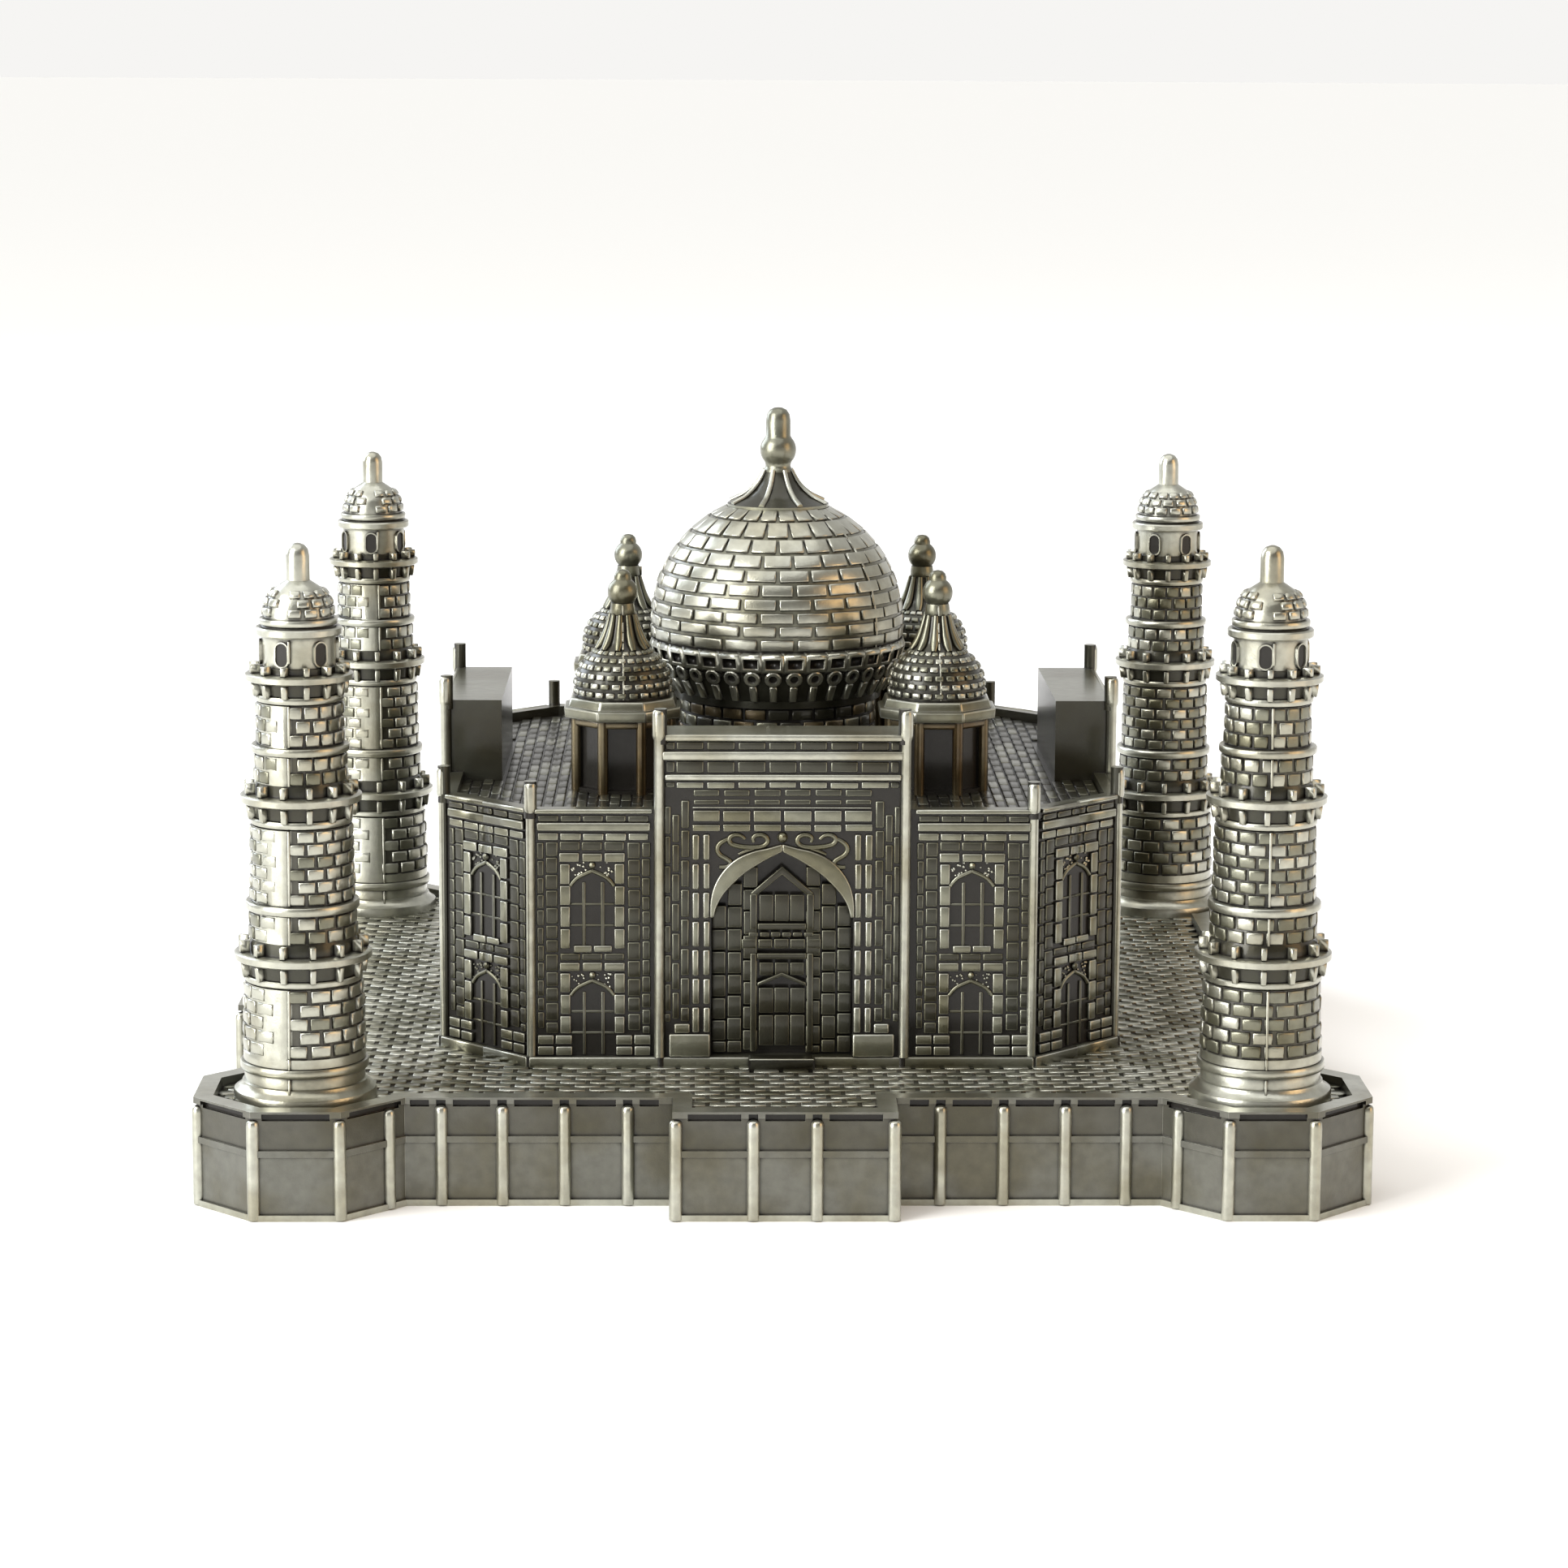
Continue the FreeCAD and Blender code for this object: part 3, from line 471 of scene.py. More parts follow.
def tower_core(filled):
    """The turned body, with the joints beside the mould line filled if asked."""
    core = turned("minaret_core", tower, BRIGHT, DIM, DARK)
    if filled:
        for corner in core.data.vertices:
            x, y, z = corner.co / MM
            angle = math.degrees(math.atan2(x, -y))
            in_shaft = any(low - 0.01 < z < high + 0.01 for low, high, *_ in SHAFTS)
            if in_shaft:
                grow = 1 + RELIEF * filling(angle) / math.hypot(x, y)
                corner.co.x *= grow
                corner.co.y *= grow
    return smooth(painted(core, tower_finish))


# %% Minaret: bricks, gallery posts, lantern windows and mould line


def tower_bricks(filled, chance):
    """All courses of one minaret. The open-jointed ones, used on the right pair, have darker bricks
    as painted shade away from the key light at the left.
    """
    # painted shade: the right pair's bricks mostly take the darker, half wiped finish
    finishes = (BRIGHT, BRIGHT, WORN) if filled else (WORN, WORN, BRIGHT)
    made = []
    for low, high, wide, narrow, courses in SHAFTS:
        pitch = (high - low) / courses
        places = []
        for course in range(courses):
            height = low + (course + 0.5) * pitch
            radius = wide + (narrow - wide) * (course + 0.5) / courses - RELIEF - 0.03
            for number in range(BRICKS_ROUND):
                angle = (number + 0.5 * (course % 2)) * 360 / BRICKS_ROUND
                depth = chance.uniform(0.85, 1.1)
                if filled and filling(angle - 4) > 0.9:
                    continue
                if not filled and 0 < (angle - LINE_ANGLE) % 360 < 100:
                    depth *= 0.6
                places.append(round_place(angle + chance.uniform(-0.9, 0.9), radius, height,
                                          chance.uniform(-3, 3), (1, depth, 1),
                                          chance.uniform(-3, 3)))
        span = 2 * math.pi * wide / BRICKS_ROUND
        unit = brick("minaret_brick", span * 0.8, pitch * 0.84, RELIEF, *finishes)
        made.append(copies("minaret_course", unit, places, mixed=chance))
    return made


def gallery_posts():
    """Posts over and under each main ring."""
    made = []
    for low, low_top, main, main_top, high, radius in GALLERIES:
        wall = radius - 1.0
        post = brick("gallery_post", 0.52, 1.0, 0.72, BRIGHT, crown=0.1)
        places = []
        for number in range(POSTS_ROUND):
            angle = (number - 0.45) * 360 / POSTS_ROUND
            places.append(round_place(angle, wall - 0.1, (main_top + high) / 2, 0,
                                      (1, 1, high - main_top)))
            places.append(round_place(angle, wall - 0.25, (low_top + main) / 2, -8,
                                      (1, 1, main - low_top + 0.1)))
        made.append(copies("gallery_posts", post, places))
    return made


def lantern_windows():
    """Six round-headed openings with a raised frame."""
    bpy.ops.mesh.primitive_cylinder_add(vertices=20, radius=0.74 * MM, depth=0.5 * MM,
                                        rotation=(math.pi / 2, 0, 0))
    window = added("lantern_window", BRIGHT, BLACK)
    edit_faces(window, lambda centre, normal: normal.y < -0.9)
    bpy.ops.mesh.inset(thickness=0.13 * MM, depth=0)
    bpy.ops.mesh.inset(thickness=0.03 * MM, depth=-0.14 * MM)
    leave_edit()
    for corner in window.data.vertices:
        if corner.co.z < 0:
            corner.co.z -= 0.95 * MM
    painted(window, lambda centre, normal: int(normal.y < -0.9 and centre.y > -0.2))
    places = [round_place(LINE_ANGLE - 12 + number * 60, 3.4, 52.25) for number in range(6)]
    return copies("lantern_windows", window, places)


def cap_bricks(chance):
    """Three courses of large pillow bricks on the lantern's dome, away from the filled side."""
    unit = brick("cap_brick", 1.2, 0.74, 0.26, BRIGHT, crown=0.16)
    places = []
    for height, radius, lean in ((55.55, 3.05, 6), (56.4, 2.85, 24), (57.15, 2.42, 42)):
        for number in range(13):
            angle = number * 360 / 13 + (14 if lean == 24 else 0)
            if filling(angle) < 0.9:
                places.append(round_place(angle + chance.uniform(-1, 1), radius, height, lean,
                                          (radius / 3.1, 1, 1)))
    return copies("cap_bricks", unit, places)


def mould_line():
    """The thin flash of metal where the two halves of the mould meet."""
    unit = brick("mould_line", 0.2, 1.0, 0.16, BRIGHT, crown=0.05)
    places = []
    for low, high, wide, narrow, courses in SHAFTS + [(10.9, 12.35, 5.85, 5.7, 1),
                                                      (13.3, 14.3, 5.75, 5.75, 1),
                                                      (51.0, 53.1, 3.6, 3.6, 1)]:
        lean = math.degrees(math.atan2(wide - narrow, high - low))
        places.append(round_place(LINE_ANGLE, (wide + narrow) / 2 - 0.03, (low + high) / 2, lean,
                                  (1, 1, high - low)))
    return copies("mould_lines", unit, places)


# %% Minaret: the two versions
minarets = {}
for side, filled in (("left", True), ("right", False)):
    chance = random.Random(7)
    minarets[side] = joined("minaret_" + side, [
        tower_core(filled), *tower_bricks(filled, chance), *gallery_posts(), lantern_windows(),
        cap_bricks(chance), mould_line()])
    print("minaret", side, "triangles",
          triangles(minarets[side]))

# %% Minaret: four copies on the corners
TURNS = {"front_left": -1.0, "front_right": 6.0, "rear_left": 20.0, "rear_right": -130.0}
for corner, turn in TURNS.items():
    low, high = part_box("minaret_" + corner)
    axis = (low + high) / 2
    place = Matrix.Translation((axis.x, axis.y, 0)) @ spin(turn)
    tower_piece = copies("minaret_" + corner + "_casting", minarets[corner.split("_")[1]],
                         [place], keep=True)
    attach(tower_piece, "root")
    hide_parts("minaret_" + corner)
for spare in minarets.values():
    bpy.data.objects.remove(spare)

# %% [markdown]
# ## Main dome
# The dome is a shell of ten brick courses with thin engraved joints. The courses are 6 degrees
# tall at the waist and almost 11 near the top. Below them runs a row of square frames and a row
# of keyhole petals over a black ground, then a collar and a brick drum. Bricks are placed on the
# sphere by latitude, each leaning with the surface.

# %% Main dome: core and courses
DOME_MID = 48.7
DOME_RADIUS = 12.95
DOME_BRICKS = 22
DOME_LINE = 50.0
DOME_FIRST = -1.0
skin = DOME_RADIUS - 0.14
# latitudes of the joints between the courses
JOINTS = [-7.1, -1.0, 5.0, 11.0, 17.3, 23.9, 30.7, 38.2, 46.7, 57.5, 67.0]


def dome_place(angle, latitude, lift=0.0, stretch=(1, 1, 1), yaw=0.0):
    """Where a brick goes on the sphere of the dome."""
    return (spin(angle)
            @ Matrix.Translation((0, 0, DOME_MID * MM))
            @ Matrix.Rotation(math.radians(-latitude), 4, "X")
            @ Matrix.Translation((0, -(skin + lift) * MM, 0))
            @ spin(yaw)
            @ Matrix.Diagonal((*stretch, 1)))


foot_latitude = math.degrees(math.asin((41.9 - DOME_MID) / skin))
arc = [foot_latitude + step * (64.6 - foot_latitude) / 30 for step in range(31)]
dome_profile = [(9.9, ROOF + 0.01), (9.9, 41.0), (10.7, 41.05), (10.75, 41.8)]
dome_profile += [(skin * math.cos(math.radians(a)), DOME_MID + skin * math.sin(math.radians(a)))
                 for a in arc]
dome_core = turned("dome_core", dome_profile, WORN, DARK, BLACK, columns=96)
petal_top = DOME_MID + skin * math.sin(math.radians(-8.3))
# Below the petals the collar is dark and the drum's core black: dark joints between the drum bricks,
# and painted shade under the foot of the dome.
painted(dome_core, lambda centre, normal: 2 if centre.z < 41 else int(centre.z < petal_top))
dome_parts = [smooth(dome_core)]
print("dome", len(JOINTS) - 1, "courses of", DOME_BRICKS)
chance = random.Random(11)
for number, (low, high) in enumerate(zip(JOINTS, JOINTS[1:])):
    latitude = (low + high) / 2
    around = skin * math.cos(math.radians(latitude)) * 2 * math.pi / DOME_BRICKS
    tall = skin * math.radians(high - low)
    unit = brick("dome_brick", around * 0.885, tall - 0.34, 0.14, BRIGHT, crown=0.1)
    places = []
    for slot in range(DOME_BRICKS):
        angle = DOME_FIRST + (slot + 0.5 * (number % 2)) * 360 / DOME_BRICKS
        faded = 0.45 if 0 < (angle - DOME_LINE) % 360 < 70 else 1.0
        places.append(dome_place(angle + chance.uniform(-0.2, 0.2), latitude, 0.0,
                                 (1, faded, 1), chance.uniform(-1, 1)))
    dome_parts.append(copies("dome_course", unit, places))

# %% Main dome: frames, keyhole petals and drum
PETALS = 36
frame_unit = brick("petal_frame", 1.68, 1.2, 0.26, BRIGHT, BLACK, crown=0.06)
edit_faces(frame_unit, lambda centre, normal: normal.y < -0.9)
bpy.ops.mesh.inset(thickness=0.14 * MM, depth=0)
bpy.ops.mesh.inset(thickness=0.04 * MM, depth=-0.24 * MM)
leave_edit()
painted(frame_unit, lambda centre, normal: int(normal.y < -0.9 and centre.y > -0.2))

bpy.ops.mesh.primitive_cylinder_add(vertices=14, radius=0.85 * MM, depth=0.6 * MM,
                                    rotation=(math.pi / 2, 0, 0))
ring_unit = added("petal_ring", BRIGHT, BLACK)
edit_faces(ring_unit, lambda centre, normal: normal.y < -0.9)
bpy.ops.mesh.inset(thickness=0.12 * MM, depth=0.09 * MM)
bpy.ops.mesh.inset(thickness=0.26 * MM, depth=0)
bpy.ops.mesh.inset(thickness=0.05 * MM, depth=-0.3 * MM)
leave_edit()
painted(ring_unit, lambda centre, normal: int(normal.y < -0.9 and abs(centre.x) + abs(centre.z)
                                              < 0.05))
stem_unit = brick("petal_stem", 0.72, 1.8, 0.3, BRIGHT, crown=0.12)
petal_angles = [slot * 360 / PETALS - 2.9 for slot in range(PETALS)]
for unit, latitude in ((frame_unit, -12.3), (ring_unit, -19.8), (stem_unit, -27.6)):
    dome_parts.append(copies("petals", unit, [dome_place(angle, latitude)
                                              for angle in petal_angles]))
drum_places = []
for course in range(5):
    for slot in range(26):
        angle = (slot + 0.5 * (course % 2)) * 360 / 26
        drum_places.append(round_place(angle, 9.88, 40.35 - course * 1.35))
# The drum bricks take half wiped, bronze and dark finishes at random; the dark ones are partly
# painted shade under the dome.
drum_brick = brick("drum_brick", 2.1, 1.1, 0.16, WORN, BRONZED, DARK)
dome_parts.append(copies("drum_bricks", drum_brick, drum_places, mixed=chance))
print("petals", PETALS, "drum bricks", len(drum_places))

# %% Main dome: mould line and hand-over
line = brick("dome_line", 0.2, 1.3, 0.17, BRIGHT, crown=0.04)
dome_parts.append(copies("dome_line", line, [dome_place(DOME_LINE, -28 + step * 5.4)
                                             for step in range(17)]))
dome = joined("main_dome_casting", dome_parts)
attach(dome, "root")
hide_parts("main_dome")
print("dome triangles", triangles(dome))

# %% [markdown]
# ## Facade ornament
# All four walls are alike, so the ornament is built once, looking to -Y, and copied. Most of it
# is blocks: a list of boxes on the wall plane, made from one cube, with their edges rounded
# together at the end and wiped brighter than their faces. No two blocks of the real casting are
# quite alike, so each is a few hundredths of a millimetre off its place. Arches are flat ribbons
# between two curves, and scrolls are mouldings, which are tubes along a path.

# %% Blocks and mouldings


def blocks(name, boxes, finish, edge_finish, face=0.0, edge=0.1, loose=0.035):
    """Raised blocks on a wall that stands at -face: left, right, low, high and how proud.

    Each end lies up to loose off its place, and edge is the width of the rounded edges.
    """
    chance = random.Random(name)
    bpy.ops.mesh.primitive_cube_add(size=1)
    unit = added(name + "_unit", finish, edge_finish)
    places = []
    for box in boxes:
        left, right, low, high = (side + chance.uniform(-loose, loose) for side in box[:4])
        proud = box[4]
        middle = ((left + right) / 2 * MM, -(face + (proud - SUNK) / 2) * MM,
                  (low + high) / 2 * MM)
        size = ((right - left) * MM, (proud + SUNK) * MM, (high - low) * MM)
        tip = Matrix.Rotation(chance.uniform(-1, 1) * loose * 0.5, 4, "Z")
        places.append(Matrix.Translation(middle) @ tip @ Matrix.Diagonal((*size, 1)))
    return smooth(softened(copies(name, unit, places), edge, 2, edge_finish=1), 50)


def moulding(name, path, radius, finish, face=0.0, flat=0.8):
    """A tube along points of x, height and thickness on a wall that stands at -face."""
    bpy.ops.curve.primitive_nurbs_path_add()
    curve = bpy.context.object
    curve.data.splines.clear()
    spline = curve.data.splines.new("NURBS")
    spline.points.add(len(path) - 1)
    for point, (x, height, thick) in zip(spline.points, path):
        point.co = (x * MM, 0, height * MM, 1)
        point.radius = thick
    spline.order_u = 3
    spline.use_endpoint_u = True
    spline.resolution_u = 4
    curve.data.bevel_depth = radius * MM
    curve.data.bevel_resolution = 2
    curve.data.use_fill_caps = True
    curve.scale.y = flat
    curve.location.y = -face * MM
    pick(curve)
    bpy.ops.object.convert(target="MESH")
    tube = added(name, finish)
    edit_faces(tube, lambda centre, normal: True)
    bpy.ops.mesh.remove_doubles(threshold=0.0005 * MM)
    leave_edit()
    return smooth(tube, 60)


def ribbon(name, outer, inner, proud, finish, edge_finish, face=0.0, edge=0.12):
    """A flat band between two lines of points of x and height on a wall that stands at -face."""
    bpy.ops.mesh.primitive_grid_add(x_subdivisions=len(outer) - 1, y_subdivisions=1)
    piece = added(name, finish, edge_finish)
    for corner, (x, height) in zip(piece.data.vertices, list(inner) + list(outer)):
        corner.co = (x * MM, -(face - SUNK) * MM, height * MM)
    edit_faces(piece, lambda centre, normal: True)
    bpy.ops.mesh.extrude_region_move(
        TRANSFORM_OT_translate={"value": (0, -(proud + SUNK) * MM, 0)})
    bpy.ops.mesh.select_all(action="SELECT")
    bpy.ops.mesh.normals_make_consistent(inside=False)
    leave_edit()
    return smooth(softened(piece, edge, 2, 50, edge_finish=1), 50)


def mirrored(path):
    """The same path on the other side of the middle."""
    return [(-point[0], *point[1:]) for point in path]


def rounded(path, steps=4):
    """The points of a path joined by a smooth curve, as more points."""
    points = [Vector(point) for point in path]
    points = [points[0] * 2 - points[1]] + points + [points[-1] * 2 - points[-2]]
    curve = []
    for a, b, c, d in zip(points, points[1:], points[2:], points[3:]):
        for step in range(steps):
            t = step / steps
            curve.append(0.5 * (2 * b + (c - a) * t + (2 * a - 5 * b + 4 * c - d) * t * t
                                + (3 * b - a - 3 * c + d) * t ** 3))
    return curve + [points[-2]]


# %% [markdown]
# ## Finial
# A separate casting with eight ribs over hollow panels, a collar, a ball and a blunt pin. Its
# thin edge overhangs the dome and throws the line of shadow that shows it is its own piece.

# %% Finial
finial_profile = [(0.9, 57.6), (0.9, 60.42), (5.0, 60.42), (5.2, 60.55), (5.2, 60.85),
                  (4.9, 61.0), (3.7, 61.5), (2.7, 62.25), (1.95, 63.2), (1.5, 64.1)]
finial_profile += [(1.48, 64.3), (1.36, 64.45), (1.28, 64.7), (1.34, 64.95)]
finial_profile += [(1.85 * math.cos(math.radians(a)), 66.3 + 1.85 * math.sin(math.radians(a)))
                   for a in range(-40, 50, 10)]
finial_profile += [(1.26, 67.75), (1.25, 69.3), (1.15, 69.95), (0.85, 70.4), (0.4, 70.62),
                   (0.1, 70.65)]
finial_core = turned("finial_core", finial_profile, WORN, DARK)
painted(finial_core, lambda centre, normal: int(60.9 < centre.z < 63.9))
smooth(finial_core)
print("finial core triangles", triangles(finial_core))

# %% Finial ribs and hand-over
rib = moulding("finial_rib", [(5.15, 60.95, 1.1), (4.5, 61.25, 1.1), (3.7, 61.62, 1.0),
                              (2.75, 62.38, 0.95), (2.0, 63.3, 0.9), (1.5, 64.3, 0.8)],
               0.24, BRIGHT, flat=1.2)
rib_places = [spin(slot * 45 - 110) for slot in range(8)]
finial = joined("dome_finial_casting", [finial_core, copies("finial_ribs", rib, rib_places)])
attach(finial, "root")
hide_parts("dome_finial")
print("finial triangles", triangles(finial))

# %% [markdown]
# ## Roof pavilions
# Each is an eight-sided kiosk with posts at its corners and dark sunk panels, a stepped eave, and
# a bell-shaped dome set with six rows of bead bricks under a fluted lotus.

# %% Pavilion: kiosk and eave
KIOSK_CORNER = 5.1
EAVE_Z = 41.3


def eight_sided(name, radius, low, high, finish, out=0.0):
    """An eight-sided block with flats to the walls, its rim tipped in or out by a distance."""
    bpy.ops.mesh.primitive_cylinder_add(vertices=8, radius=radius * MM, depth=(high - low) * MM,
                                        location=(0, 0, (low + high) / 2 * MM),
                                        rotation=(0, 0, math.radians(22.5)))
    piece = added(name, finish, BRIGHT)
    edit_faces(piece, lambda centre, normal: normal.z > 0.9)
    grow = (radius + out) / radius
    bpy.ops.transform.resize(value=(grow, grow, 1), center_override=(0, 0, high * MM))
    leave_edit()
    return piece


kiosk = eight_sided("kiosk", KIOSK_CORNER, ROOF + 0.01, EAVE_Z + 0.1, BLACK)
edit_faces(kiosk, lambda centre, normal: abs(normal.z) < 0.1)
bpy.ops.mesh.inset(thickness=0.5 * MM, depth=0, use_individual=True)
bpy.ops.mesh.inset(thickness=0.08 * MM, depth=-0.5 * MM, use_individual=True)
leave_edit()
bpy.ops.mesh.primitive_cylinder_add(vertices=12, radius=0.52 * MM, depth=(EAVE_Z - ROOF) * MM,
                                    location=(0, 0, (EAVE_Z + ROOF) / 2 * MM))
kiosk_post = added("kiosk_post", BRONZED)
edit_faces(kiosk_post, lambda centre, normal: abs(normal.z) > 0.9)
bpy.ops.mesh.inset(thickness=0.1 * MM, depth=0.06 * MM, use_individual=True)
leave_edit()
post_places = [round_place(22.5 + 45 * side, KIOSK_CORNER - 0.14, 0) for side in range(8)]
posts = smooth(copies("kiosk_posts", kiosk_post, post_places))
lintel_block = brick("kiosk_lintel", 3.4, 0.7, 0.3, BRONZED)
lintels = copies("kiosk_lintels", lintel_block, [
    round_place(45 * side, KIOSK_CORNER * math.cos(math.radians(22.5)) - 0.1, EAVE_Z - 0.4)
    for side in range(8)])
eaves = []
for radius, low, high, out in ((6.2, EAVE_Z, EAVE_Z + 1.05, 0.08),
                               (5.85, EAVE_Z + 1.0, EAVE_Z + 1.95, -0.35)):
    step = eight_sided("eave", radius, low, high, WORN, out)
    eaves.append(smooth(softened(step, 0.16, 2, edge_finish=1), 30))
print("kiosk posts", len(post_places), "eave steps", len(eaves))

# %% Pavilion: bell dome, beads, lotus and spike
bell = [(4.55, EAVE_Z + 1.85), (4.62, 43.5), (4.64, 44.4), (4.56, 45.1), (4.32, 45.9),
        (3.84, 46.75), (3.2, 47.45), (2.5, 47.95), (2.05, 48.4), (1.72, 49.1), (1.4, 50.2),
        (1.16, 51.3), (1.25, 51.45), (1.22, 52.0), (1.14, 52.5)]
bell += [(1.5 * math.cos(math.radians(a)), 53.6 + 1.5 * math.sin(math.radians(a)))
         for a in range(-45, 56, 10)]
bell += [(0.86, 54.9), (0.85, 55.15), (0.74, 55.5), (0.48, 55.75), (0.1, 55.84)]
bell_core = turned("bell_core", bell, WORN, DARK, columns=48)
smooth(painted(bell_core, lambda centre, normal: int(43.4 < centre.z < 51.2)))
bead = brick("bead", 0.8, 0.52, 0.26, BRIGHT, WORN, crown=0.1)
bead_places = []
for row, (radius, height, lean) in enumerate(((4.62, 43.8, 0), (4.6, 44.65, 5),
                                              (4.42, 45.5, 16), (4.02, 46.3, 29),
                                              (3.46, 47.0, 42), (2.72, 47.6, 54))):
    for slot in range(26):
        angle = (slot + 0.5 * (row % 2)) * 360 / 26
        bead_places.append(round_place(angle, radius, height, lean,
                                       (0.3 + 0.7 * radius / 4.62, 1, 1)))
beads = copies("beads", bead, bead_places, mixed=random.Random(5))
flute = moulding("flute", [(2.6, 47.95, 0.7), (2.2, 48.4, 1.15), (1.82, 49.1, 1.1),
                           (1.48, 50.2, 0.85), (1.22, 51.4, 0.6)], 0.34, WORN, flat=1.2)
flutes = copies("flutes", flute, [spin(slot * 36 + 8) for slot in range(10)])
seam = brick("seam", 0.16, 0.95, 0.18, BRIGHT, crown=0.04)
seam_places = [round_place(2, radius, height, lean) for radius, height, lean in (
    (4.68, 43.9, 0), (4.66, 44.7, 5), (4.46, 45.5, 16), (4.06, 46.3, 29), (3.5, 47.0, 42),
    (2.76, 47.6, 54), (2.3, 48.4, 45), (1.9, 49.2, 30), (1.55, 50.2, 18), (1.24, 51.9, 0))]
seams = copies("seams", seam, seam_places)
pavilion = joined("pavilion", [kiosk, posts, lintels, *eaves, bell_core, beads, flutes, seams])
for corner in TURNS:
    low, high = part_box("chhatri_" + corner)
    axis = (low + high) / 2
    turn = {"front_left": 0, "front_right": 0, "rear_left": 90, "rear_right": 180}[corner]
    place = Matrix.Translation((axis.x, axis.y, 0)) @ spin(turn)
    piece = copies("chhatri_" + corner + "_casting", pavilion, [place], keep=True)
    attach(piece, "root")
    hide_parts("chhatri_" + corner)
print("pavilion triangles", triangles(pavilion))
bpy.data.objects.remove(pavilion)

# %% [markdown]
# ## Window bay
# Two arched windows, one over the other, stand between strips of brick. Wiped blocks frame
# them, a scatter of fine beads and a ball fill the corners over each arch, and thin bars
# divide the glass. The bay is used beside each portal and on each cut corner.

# %% Window bay
chance = random.Random(3)


def window_boxes(top, sides, sill):
    """Blocks round one window: three over it, a column each side, and a sill if it has one."""
    boxes = [(-3.15, -1.25, top - 0.85, top, 0.36), (-0.95, 0.95, top - 0.85, top, 0.36),
             (1.2, 3.15, top - 0.85, top, 0.36)]
    for high, low in sides:
        boxes += [(-3.1, -2.12, low, high, 0.36), (2.15, 3.12, low, high, 0.36)]
    if sill:
        boxes += [(-1.8, -0.06, sill - 0.62, sill, 0.34), (0.12, 1.88, sill - 0.62, sill, 0.34)]
    return boxes


wiped = window_boxes(30.5, ((29.45, 27.5), (27.3, 25.45), (25.25, 23.3), (23.1, 21.15)), 21.4)
wiped += window_boxes(19.75, ((18.7, 16.8), (16.6, 14.65), (14.45, 12.75)), None)
for left, right in ((-5.3, -3.75), (-3.55, -2.0), (2.3, 3.85), (4.05, 5.6)):
    wiped += [(left, right, 11.7, 12.6, 0.45), (left, right, 10.6, 11.5, 0.45)]
bands = [(-5.3, 5.6, 32.65, 33.5, 0.5), (-5.5, 5.8, 34.35, 34.85, 0.6)]
wiped += [(-5.2 + 2.17 * n, -3.25 + 2.17 * n, 31.75, 32.45, 0.3) for n in range(5)]
dim = [(-5.2 + 2.17 * n, -3.25 + 2.17 * n, 33.58, 34.2, 0.38) for n in range(5)]
dim += [(-3.1 + 2.12 * n, -1.15 + 2.12 * n, 30.75, 31.6, 0.18) for n in range(3)]
dim += [(-3.1 + 2.12 * n, -1.15 + 2.12 * n, 19.95, 20.62, 0.2) for n in range(3)]
for left, right in ((-4.48, -3.3), (-5.32, -4.66), (3.42, 4.62), (4.8, 5.6)):
    height = 31.55
    while height > 13.4:
        tall = chance.uniform(1.25, 1.75)
        dim.append((left, right, max(height - tall, 12.7), height, 0.22))
        height -= tall + 0.14
glazing = []
for low, high, bars in ((21.0, 28.4, (25.5, 23.4)), (10.6, 17.6, (14.9, 12.8))):
    glazing += [(-0.95, -0.63, low, high - 0.75, 0.2), (0.85, 1.17, low, high - 0.75, 0.2)]
    glazing += [(-2.1, 2.15, bar - 0.12, bar + 0.12, 0.16) for bar in bars]
bay_parts = [blocks("bay_wiped", wiped, WORN, BRIGHT),
             blocks("bay_bands", bands, WORN, BRIGHT, edge=0.14),
             blocks("bay_dim", dim, DARK, WORN, edge=0.12),
             blocks("bay_bars", glazing, DIM, WORN, edge=0.08, loose=0.02)]
# the arch halves run a little past the middle, where the corner bays are cut
for apex in (28.75, 17.95):
    half = [(-2.1, apex - 1.45, 1.0), (-1.65, apex - 0.8, 1.0), (-0.85, apex - 0.35, 1.0),
            (0.12, apex + 0.05, 1.0)]
    for path in (half, mirrored(half)):
        bay_parts.append(moulding("bay_arch", path, 0.21, WORN, 0.1))
    bpy.ops.mesh.primitive_uv_sphere_add(segments=8, ring_count=6, radius=0.36 * MM,
                                         location=(0, -0.15 * MM, (apex + 0.55) * MM))
    bay_parts.append(smooth(added("bay_ball", WORN), 30))
    bpy.ops.mesh.primitive_ico_sphere_add(subdivisions=1, radius=0.15 * MM)
    grain = added("bay_bead", BRIGHT)
    spots = []
    while len(spots) < 26:
        x, high = chance.uniform(-2.0, 2.0), chance.uniform(apex - 1.0, apex + 0.85)
        if high > apex + 0.15 - abs(x) * 0.62 and abs(x) > 0.5:
            spots.append(Matrix.Translation((x * MM, -0.06 * MM, high * MM))
                         @ Matrix.Scale(chance.uniform(0.7, 1.2), 4))
    bay_parts.append(copies("bay_beads", grain, spots))
bay = joined("bay", bay_parts)
print("bay triangles", triangles(bay))

# %% [markdown]
# ## Portal
# The tall middle of each side: bands and brick rows above a lintel, twin columns of tall bricks,
# a pointed arch with scrolls over it, and inside the niche a gabled window over a gabled door.

